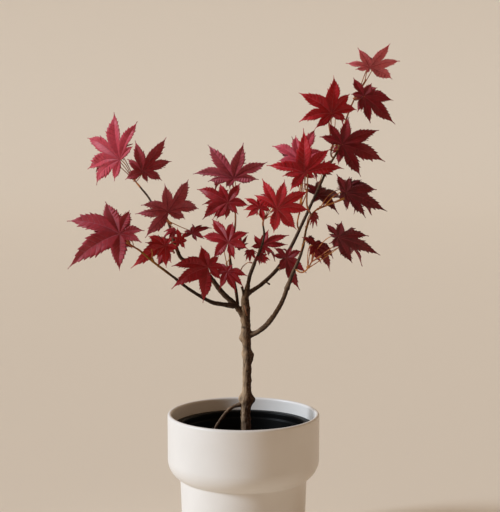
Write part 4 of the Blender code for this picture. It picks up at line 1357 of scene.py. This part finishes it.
class MAPLE_OT_grow_pot(bpy.types.Operator):
    """Turns the black grow pot with its rolled lip"""

    bl_idname = "maple.grow_pot"
    bl_label = "Grow pot"

    def execute(self, context):
        look = context.scene.maple_planter
        low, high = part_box("grow_pot")
        foot, top, lip = low.z / MM, high.z / MM, high.x / MM
        wall, base, mouth = 1.3, 44.0, 60.0
        corners = [
            (0.0, foot, 0.0),
            (base, foot, 1.0),
            (mouth, top - 3.0, 0.6),
            (lip - 1.2, top - 2.6, 0.3),
            (lip, top - 3.0, 0.5),
            (lip, top, 1.1),
            (mouth - wall, top - 0.2, 1.4),
            (mouth - wall - 0.3, top - 6.0, 0.4),
            (mouth - wall - 1.1, top - 6.8, 0.4),
            (base + 0.6, foot + wall, 2.0),
            (0.0, foot + wall, 0.0),
        ]
        points, faces = turned_shell(eased_profile(corners, 2.0), look.sides)
        item = mesh_object("grow_pot_moulded", points, faces, [moulded_polypropylene(look)])
        placed(item, "liner_plastic", "grow_pot")
        return {"FINISHED"}


# The soil's layers of noise, as (width in millimetres, height, seed), and how far out its loose
# crumbs lie.
SOIL_LUMPS = ((9.0, 0.7, 31), (4.0, 0.45, 32), (1.9, 0.25, 33))
CRUMB_REACH = 54.0


def soil_height(x, y, top):
    """Height of the soil's face: it falls 3 mm to its edge, and is crumbly at 9, 4 and 2 mm."""
    places = np.stack([x, y, np.zeros_like(x)], axis=-1)
    distance = np.hypot(x, y)
    fall = 3.0 * ease(24.0, 57.0, distance)
    calm = 1.0 - ease(55.0, 57.5, distance)
    return top - 0.6 - fall + layered_noise(places, SOIL_LUMPS) * calm


def crumb_pile(look, top):
    """Crumbs that lie on the soil's face: dented, stretched and turned icosahedra.

    The plain icosahedron's corners are 1 from its middle, and a crumb's middle lies a quarter
    of its size above the soil.
    """
    rng = np.random.default_rng(7)
    count = look.crumbs
    golden = (1.0 + 5.0 ** 0.5) / 2.0
    corner = np.array([(-1, golden, 0), (1, golden, 0), (-1, -golden, 0), (1, -golden, 0)]) / 1.9
    corner = np.vstack([np.roll(corner, k, axis=1) for k in range(3)])
    sides = np.array([
        (0, 11, 5), (0, 5, 1), (0, 1, 7), (0, 7, 10), (0, 10, 11), (1, 5, 9), (5, 11, 4),
        (11, 10, 2), (10, 7, 6), (7, 1, 8), (3, 9, 4), (3, 4, 2), (3, 2, 6), (3, 6, 8),
        (3, 8, 9), (4, 9, 5), (2, 4, 11), (6, 2, 10), (8, 6, 7), (9, 8, 1),
    ])
    size = look.crumb_size / MM * rng.lognormal(0.0, 0.45, count)
    stretch = rng.uniform(0.6, 1.35, (count, 1, 3))
    dents = rng.uniform(0.75, 1.2, (count, len(corner), 1))
    turns = np.linalg.qr(rng.normal(size=(count, 3, 3)))[0]
    turns[:, :, 0] *= np.sign(np.linalg.det(turns))[:, None]
    radius = CRUMB_REACH * np.sqrt(rng.uniform(0.01, 1.0, count))
    angle = rng.uniform(0.0, 2.0 * pi, count)
    x, y = radius * np.cos(angle), radius * np.sin(angle)
    centre = np.stack([x, y, soil_height(x, y, top) + 0.25 * size], axis=-1)
    crumbs = corner * dents * stretch * size[:, None, None]
    crumbs = np.einsum("nij,nkj->nki", turns, crumbs) + centre[:, None]
    faces = sides + np.arange(count)[:, None, None] * len(corner)
    return crumbs.reshape(-1, 3), faces.reshape(-1, 3)


class MAPLE_OT_soil(bpy.types.Operator):
    """Fills the grow pot with crumbly soil"""

    bl_idname = "maple.soil"
    bl_label = "Soil"

    def execute(self, context):
        look = context.scene.maple_planter
        low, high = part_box("soil")
        foot, top, rim, base = low.z / MM, high.z / MM, high.x / MM, 43.0
        material = moist_potting_soil(look)
        profile = np.vstack([
            [(0.0, foot), (base, foot)],
            np.linspace((base + 0.4, foot), (rim, top - 3.4), 8),
            np.stack([np.linspace(rim - 0.6, 0.0, 74), np.full(74, top)], axis=-1),
        ])
        points, faces = turned_shell(profile, look.sides)
        face = points[:, 2] > top - 1.0
        points[face, 2] = soil_height(points[face, 0], points[face, 1], top)
        bed = mesh_object("soil_bed", points, faces, [material])
        placed(bed, "potting_soil", "soil")
        pile = mesh_object("soil_crumbs", *crumb_pile(look, top), [material])
        placed(pile, "potting_soil")
        return {"FINISHED"}


# The bark's layers of noise, as (width in millimetres, height, seed).  Warts are what stands
# above WART_LEVEL.
BARK_LUMPS = ((4.6, 1.0, 41), (2.1, 0.5, 42))
BARK_FURROWS = ((0.95, 1.0, 43), (0.5, 0.6, 44))
WARTS = ((1.3, 1.0, 45),)
WART_LEVEL = 0.45
# How many times the furrows are drawn out along the wood, and how far apart in their noise the
# limbs stand.
DRAWN_OUT = 6.0
LIMB_APART = 377.0
# The swellings at buds' scars: how far apart along the wood, and how wide.
RING_PITCH = 17.0
RING_WIDTH = 0.7
# How far rings and warts stand out and scars are sunk on wood of FULL_GIRTH.
RING_HEIGHT = 0.22
WART_HEIGHT = 0.5
SCAR_DEPTH = 0.6
FULL_GIRTH = 4.2
# Bark starts to look old at the first girth and is old the second one above it.  Wood as thin as
# the first is fresh, and none is from the second on.
AGE_GIRTHS = (1.4, 2.8)
FRESH_GIRTHS = (0.95, 1.35)
# A limb's points are so far apart, and it flares by this share at its root, over so much of it.
FINE_STEP = 1.2
FLARE = 0.35
FLARE_RUN = 5.0
# Where the key light comes from, for the paler tone painted as light on the bark's side that
# faces it, and between which heights that painted light grows from about a third to its full
# strength.  Its weaker foot is painted shade of the planter's rim, and damper bark near the soil.
LIGHT_WAY = np.array([-0.94, -0.16, 0.3])
PAINTED_LIGHT_HEIGHTS = (112.0, 146.0)
# How many skin points are compared with the limbs' paths at a time.
SKIN_BATCH = 4000


def scar_marks(points):
    """How deep a point lies in a scar, and how pale and healed it is there, each 0 to 1.

    Both fall off as exp(-(d / width)^2) with the distance d to the scar's line in the front view.
    """
    flat = points[:, [0, 2]]
    front = 1.0 - ease(-2.0, -0.5, points[:, 1])
    sunk = np.zeros(len(points))
    healed = np.zeros(len(points))
    for start, end, width, heal in SCARS:
        start, end = np.array(start), np.array(end)
        run = end - start
        share = np.clip((flat - start) @ run / (run @ run), 0.0, 1.0)
        distance = np.linalg.norm(flat - start - share[:, None] * run, axis=1)
        near = np.exp(-(distance / width) ** 2) * front
        sunk = np.maximum(sunk, near)
        healed = np.maximum(healed, near * heal)
    return sunk, healed


def nearest_wood(points, path, radii):
    """The number of the path point whose round surface each point is nearest."""
    nearest = []
    for batch in np.array_split(points, len(points) // SKIN_BATCH + 1):
        distance = np.linalg.norm(batch[:, None] - path, axis=2) - radii
        nearest.append(distance.argmin(axis=1))
    return np.concatenate(nearest)


def bark_relief(points, runs, look):
    """How far each skin point is pushed out, with its relief, age, fresh and healed marks.

    Lumps are broad noise, furrows are noise drawn out along the wood, rings are thin swellings
    exp(-(d / RING_WIDTH)^2), and all grow with the girth of the limb that a point belongs to.
    """
    path, girth = (np.concatenate(parts) for parts in zip(*runs.values()))
    heading, station, weather = [], [], []
    for order, (name, (line, _)) in enumerate(runs.items()):
        heading.append(unit(np.gradient(line, axis=0)))
        station.append(travel(line) + order * LIMB_APART)
        weather.append(np.tile(WEATHER.get(name, (0.0, 0.0)), (len(line), 1)))
    spot = nearest_wood(points, path, girth)
    girth, spoke = girth[spot], points - path[spot]
    heading, station, weather = (
        np.concatenate(parts)[spot] for parts in (heading, station, weather)
    )
    elder, golden = weather.T
    along = np.sum(spoke * heading, axis=1)
    station = station + along
    spoke = unit(spoke - heading * along[:, None]) * girth[:, None]
    wood = spoke + heading * (station / DRAWN_OUT)[:, None]
    share = np.clip(girth / FULL_GIRTH, 0.25, 1.2)
    lumps = layered_noise(points, BARK_LUMPS)
    furrows = layered_noise(wood, BARK_FURROWS)
    ring = np.exp(-((station % RING_PITCH - RING_PITCH / 2.0) / RING_WIDTH) ** 2)
    warts = np.clip(layered_noise(points, WARTS) - WART_LEVEL, 0.0, None)
    sunk, healed = scar_marks(points)
    push = look.lump / MM * lumps * share + look.furrow / MM * furrows * share
    push = push + RING_HEIGHT * ring * share + WART_HEIGHT * warts * share - SCAR_DEPTH * sunk
    for place, swell, width in KNOBS:
        away = np.linalg.norm(points - seen(place), axis=1)
        push = push + swell * np.exp(-(away / width) ** 2)
    # Low relief marks furrows and sunk scars, which the bark material darkens as painted shade.
    relief = furrows * 0.5 + lumps * 0.3 - 1.6 * sunk + 2.6 * healed ** 2
    age = np.clip((girth - AGE_GIRTHS[0]) / AGE_GIRTHS[1] + elder, 0.0, 1.0)
    fresh = golden * (1.0 - ease(*FRESH_GIRTHS, girth))
    return push, {"relief": relief, "age": age, "fresh": fresh, "healed": healed ** 2}


class MAPLE_OT_limbs(bpy.types.Operator):
    """Skins the trunk, its surface root and the boughs with one bark mesh"""

    bl_idname = "maple.limbs"
    bl_label = "Trunk and boughs"

    def execute(self, context):
        look = context.scene.maple_bark
        runs = {name: limb_rows(name, FINE_STEP) for name in ("trunk", *LIMBS)}
        heap = Heap()
        for name, (path, radii) in runs.items():
            if name != "trunk":
                radii = radii * (1.0 + FLARE * np.exp(-(travel(path) / FLARE_RUN) ** 2))
            heap.add(carried_ring(path, radii, LIMB_SIDES))
        for root, tip, radius in STUBS:
            path = smooth_curve(seen((root, tip)), 0.5)
            swell = 1.0 + 0.25 * np.linspace(-1.0, 1.0, len(path)) ** 2
            heap.add(carried_ring(path, radius * swell, STUB_SIDES))
        rough = heap.make("bark_rough", [])
        skin = rough.modifiers.new("Skin", "REMESH")
        skin.mode = "VOXEL"
        skin.voxel_size = look.grain
        smooth = rough.modifiers.new("Ease", "SMOOTH")
        smooth.factor = 0.5
        smooth.iterations = 4
        evaluated = rough.evaluated_get(context.evaluated_depsgraph_get())
        mesh = bpy.data.meshes.new_from_object(evaluated)
        bpy.data.objects.remove(rough, do_unlink=True)
        mesh.name = "bark_skin"
        points, normals = np.empty((2, 3 * len(mesh.vertices)), np.float32)
        mesh.vertices.foreach_get("co", points)
        mesh.vertices.foreach_get("normal", normals)
        points = points.reshape(-1, 3).astype(float) / MM
        normals = normals.reshape(-1, 3)
        push, marks = bark_relief(points, runs, look)
        points = points + normals * push[:, None]
        # Painted light: the side that faces the key light gets the paler tones, less so near the
        # soil, as painted shade of the rim and damper bark there.
        lit = ease(-0.15, 0.95, normals @ LIGHT_WAY)
        marks["painted_light"] = lit * (0.35 + 0.65 * ease(*PAINTED_LIGHT_HEIGHTS, points[:, 2]))
        mesh.vertices.foreach_set("co", (points * MM).astype(np.float32).ravel())
        item = shown_object("bark_skin", mesh, [maple_bark(look)], marks)
        placed(item, "bark", "trunk", *LIMBS)
        return {"FINISHED"}


def bud_shell(place, way):
    """A pointed bud that stands on a place, its radius widest sin(pi a^0.75)^0.8 at share a."""
    length, widest = 2.3, 0.75
    a = np.linspace(0.03, 0.97, 9)
    path = place + np.outer(a * length, way)
    return carried_ring(path, widest * np.sin(a ** 0.75 * pi) ** 0.8, STALK_SIDES)


def grow_stalk(parting, leaf, stalks, buds):
    """A leaf's stalk from where it parts to the leaf's heart, with a bud in its axil.

    It is thickened at both ends: at share s of its length its radius is STALK_RADIUS times
    0.85 + 0.55 exp(-14 s), times 1 + 0.35 exp(-16 (1 - s)).
    """
    _, centre, length, (along, side, face) = leaf[:4]
    onward, down = STALK_PULL
    slack = min(length, STALK_SLACK * np.linalg.norm(centre - parting))
    pull = centre + along * (onward * slack) - face * (down * slack)
    end = centre + along * (STALK_END[0] * length) - face * STALK_END[1]
    path = bent(parting, pull, end, 26)
    share = np.linspace(0.0, 1.0, len(path))
    radii = STALK_RADIUS * (0.85 + 0.55 * np.exp(-share * 14.0))
    radii = radii * (1.0 + 0.35 * np.exp(-(1.0 - share) * 16.0))
    stalks.add(carried_ring(path, radii, STALK_SIDES))
    way = unit(path[1] - path[0])
    buds.add(bud_shell(parting, unit(np.cross(way, side) + way)))


class MAPLE_OT_twigs(bpy.types.Operator):
    """Grows each mass's stem and leaf stalks, with a bud where they part"""

    bl_idname = "maple.twigs"
    bl_label = "Twigs and stalks"

    def execute(self, context):
        look = context.scene.maple_bark
        twigs, stalks, buds = Heap(), Heap(), Heap()
        for mass in MASSES.values():
            root, stem, stem_radius, leaves = grow_mass(mass)
            path = smooth_curve(np.vstack([root, stem]), 1.5)
            share = np.linspace(0.0, 1.0, len(path))
            radii = stem_radius + (STALK_RADIUS + STEM_END - stem_radius) * share
            radii = radii * (1.0 + NODE_SWELL * np.sin(share * len(path) * NODE_RATE) ** 8)
            twigs.add(carried_ring(path, radii, TWIG_SIDES))
            for k, leaf in enumerate(leaves):
                parting = stem[PARTINGS[0] if k == 0 else PARTINGS[2 - k % 2]]
                grow_stalk(parting, leaf, stalks, buds)
        for limb, share, row in YOUNG_LEAVES:
            route, _ = limb_rows(limb, COARSE_STEP)
            grow_stalk(route[round(share * (len(route) - 1))], placed_leaf(row), stalks, buds)
        for line, radius in SHOOTS:
            path = smooth_curve(seen(line), 1.0)
            share = np.linspace(0.0, 1.0, len(path))
            twigs.add(carried_ring(path, radius * (1.0 - SHOOT_TAPER * share), TWIG_SIDES))
            buds.add(bud_shell(path[-1], unit(path[-1] - path[-2])))
        for heap, name, material, low, high in (
            (twigs, "twigs", "young_maple_wood", look.twig_low, look.twig_high),
            (stalks, "leaf_stalks", "leaf_stalk_skin", look.stalk_low, look.stalk_high),
            (buds, "buds", "bud_scales", look.stalk_low, look.twig_high),
        ):
            placed(heap.make(name, [young_twig(material, low, high)]), "bark")
        return {"FINISHED"}


def leaf_piece(name, leaves, finishes, look, seed):
    """Some leaves as one object, with an upper, an underside and a vein material for each tint."""
    rng = np.random.default_rng(seed)
    tints = sorted({leaf[0] for leaf in leaves})
    heap = Heap()
    for tint, *leaf in leaves:
        shell, reach = leaf_shell(leaf, look, rng)
        heap.add(shell, SHELL_KINDS + 3 * tints.index(tint), reach=reach)
    return heap.make(name, [material for tint in tints for material in finishes[tint]])


class MAPLE_OT_leaves(bpy.types.Operator):
    """Grows every leaf, each in its own tint"""

    bl_idname = "maple.leaves"
    bl_label = "Leaves"

    def execute(self, context):
        look = context.scene.maple_leaf
        finishes = {}
        for tint, (blade, veins, bloom_and_painted_sheen) in TINTS.items():
            bloom_and_painted_sheen = max(bloom_and_painted_sheen, look.bloom_and_painted_sheen)
            under = blend_hex(blade, UNDERSIDE_TONE, look.underside)
            finishes[tint] = [
                maple_leaf(kind + tint, code, bloom_and_painted_sheen) for kind, code in (
                    ("maple_leaf_", blade), ("maple_leaf_underside_", under),
                    ("maple_leaf_vein_", veins),
                )
            ]
        for name, mass in MASSES.items():
            leaves = grow_mass(mass)[3]
            item = leaf_piece("leaves_" + name, leaves, finishes, look, mass[3])
            placed(item, SLOT_OF_TINT[leaves[0][0]], "foliage_" + name)
        chance = Random(5)
        leaves = [(*placed_leaf(row), lobe_draws(chance)) for _, _, row in YOUNG_LEAVES]
        item = leaf_piece("leaves_young", leaves, finishes, look, 5)
        placed(item, "leaves_crimson")
        return {"FINISHED"}


class MAPLE_OT_stage(bpy.types.Operator):
    """Sets the floor and backdrop, the lights and the camera"""

    bl_idname = "maple.stage"
    bl_label = "Stage"

    def execute(self, context):
        look = context.scene.maple_stage
        plaster = new_material("plain_plaster", {"Base Color": look.floor, "Roughness": 0.8})[0]
        back, bend, reach, height = 4200.0, 1500.0, 40000.0, 6000.0
        profile = np.vstack([
            [(-reach, 0.0)],
            arc((back - bend, bend), bend, -90.0, 0.0, 32),
            [(back, height)],
        ])
        count = len(profile)
        points = np.array([(x, y, z) for x in (-reach, reach) for y, z in profile])
        i = np.arange(count - 1)
        faces = np.vstack([
            np.stack([i, i + count, i + count + 1], axis=-1),
            np.stack([i, i + count + 1, i + 1], axis=-1),
        ])
        sweep = mesh_object("sweep", points, faces, [plaster])

        key = bpy.data.lights.new("key", "SUN")
        key.energy = look.key_strength
        key.angle = look.key_softness
        key.color = look.key_tone[:3]
        lamp = bpy.data.objects.new("key", key)
        across, up = look.key_side, look.key_height
        aim = Vector((sin(across) * cos(up), cos(across) * cos(up), -sin(up)))
        lamp.rotation_euler = aim.to_track_quat("-Z", "Y").to_euler()
        context.scene.collection.objects.link(lamp)

        world = bpy.data.worlds.new("even_light")
        world.use_nodes = True
        tree = world.node_tree
        light = tree.nodes["Background"]
        feed(light, {"Color": look.ambient_tone, "Strength": look.ambient})
        horizon = add_node(tree, "ShaderNodeBackground", {"Color": look.horizon})
        direct = add_node(tree, "ShaderNodeLightPath").outputs["Is Camera Ray"]
        shown = add_node(tree, "ShaderNodeMixShader", {0: direct, 1: light, 2: horizon})
        feed(tree.nodes["World Output"], {"Surface": shown})
        context.scene.world = world
        context.scene.view_settings.view_transform = "Standard"

        camera = bpy.data.cameras.new("camera")
        camera.lens = look.lens
        camera.sensor_width = SENSOR
        camera.clip_start = 0.05
        camera.clip_end = 100.0
        eye = bpy.data.objects.new("camera", camera)
        eye.location = look.eye
        eye.rotation_euler = (pi / 2.0 - look.tilt, 0.0, -look.turn)
        context.scene.collection.objects.link(eye)
        context.scene.camera = eye
        return {"FINISHED"}


PIECES = (
    MAPLE_OT_stage,
    MAPLE_OT_planter,
    MAPLE_OT_grow_pot,
    MAPLE_OT_soil,
    MAPLE_OT_limbs,
    MAPLE_OT_twigs,
    MAPLE_OT_leaves,
)


class MAPLE_PT_panel(bpy.types.Panel):
    """Lists the operators that dress the bonsai, with their settings"""

    bl_label = "Maple bonsai"
    bl_idname = "MAPLE_PT_panel"
    bl_space_type = "VIEW_3D"
    bl_region_type = "UI"
    bl_category = "Maple"

    def draw(self, context):
        column = self.layout.column(align=True)
        for piece in PIECES:
            column.operator(piece.bl_idname)
        for group in SETTINGS:
            settings = getattr(context.scene, group)
            box = self.layout.box()
            for name in settings.__annotations__:
                box.prop(settings, name)


SETTINGS = {
    "maple_planter": PlanterSettings,
    "maple_bark": BarkSettings,
    "maple_leaf": LeafSettings,
    "maple_stage": StageSettings,
}


def register():
    for group, settings in SETTINGS.items():
        bpy.utils.register_class(settings)
        setattr(bpy.types.Scene, group, bpy.props.PointerProperty(type=settings))
    for piece in (*PIECES, MAPLE_PT_panel):
        bpy.utils.register_class(piece)


def unregister():
    for piece in reversed((*PIECES, MAPLE_PT_panel)):
        bpy.utils.unregister_class(piece)
    for group, settings in SETTINGS.items():
        delattr(bpy.types.Scene, group)
        bpy.utils.unregister_class(settings)


def main():
    register()
    for piece in PIECES:
        family, action = piece.bl_idname.split(".")
        getattr(getattr(bpy.ops, family), action)()


if __name__ == "__main__":
    main()
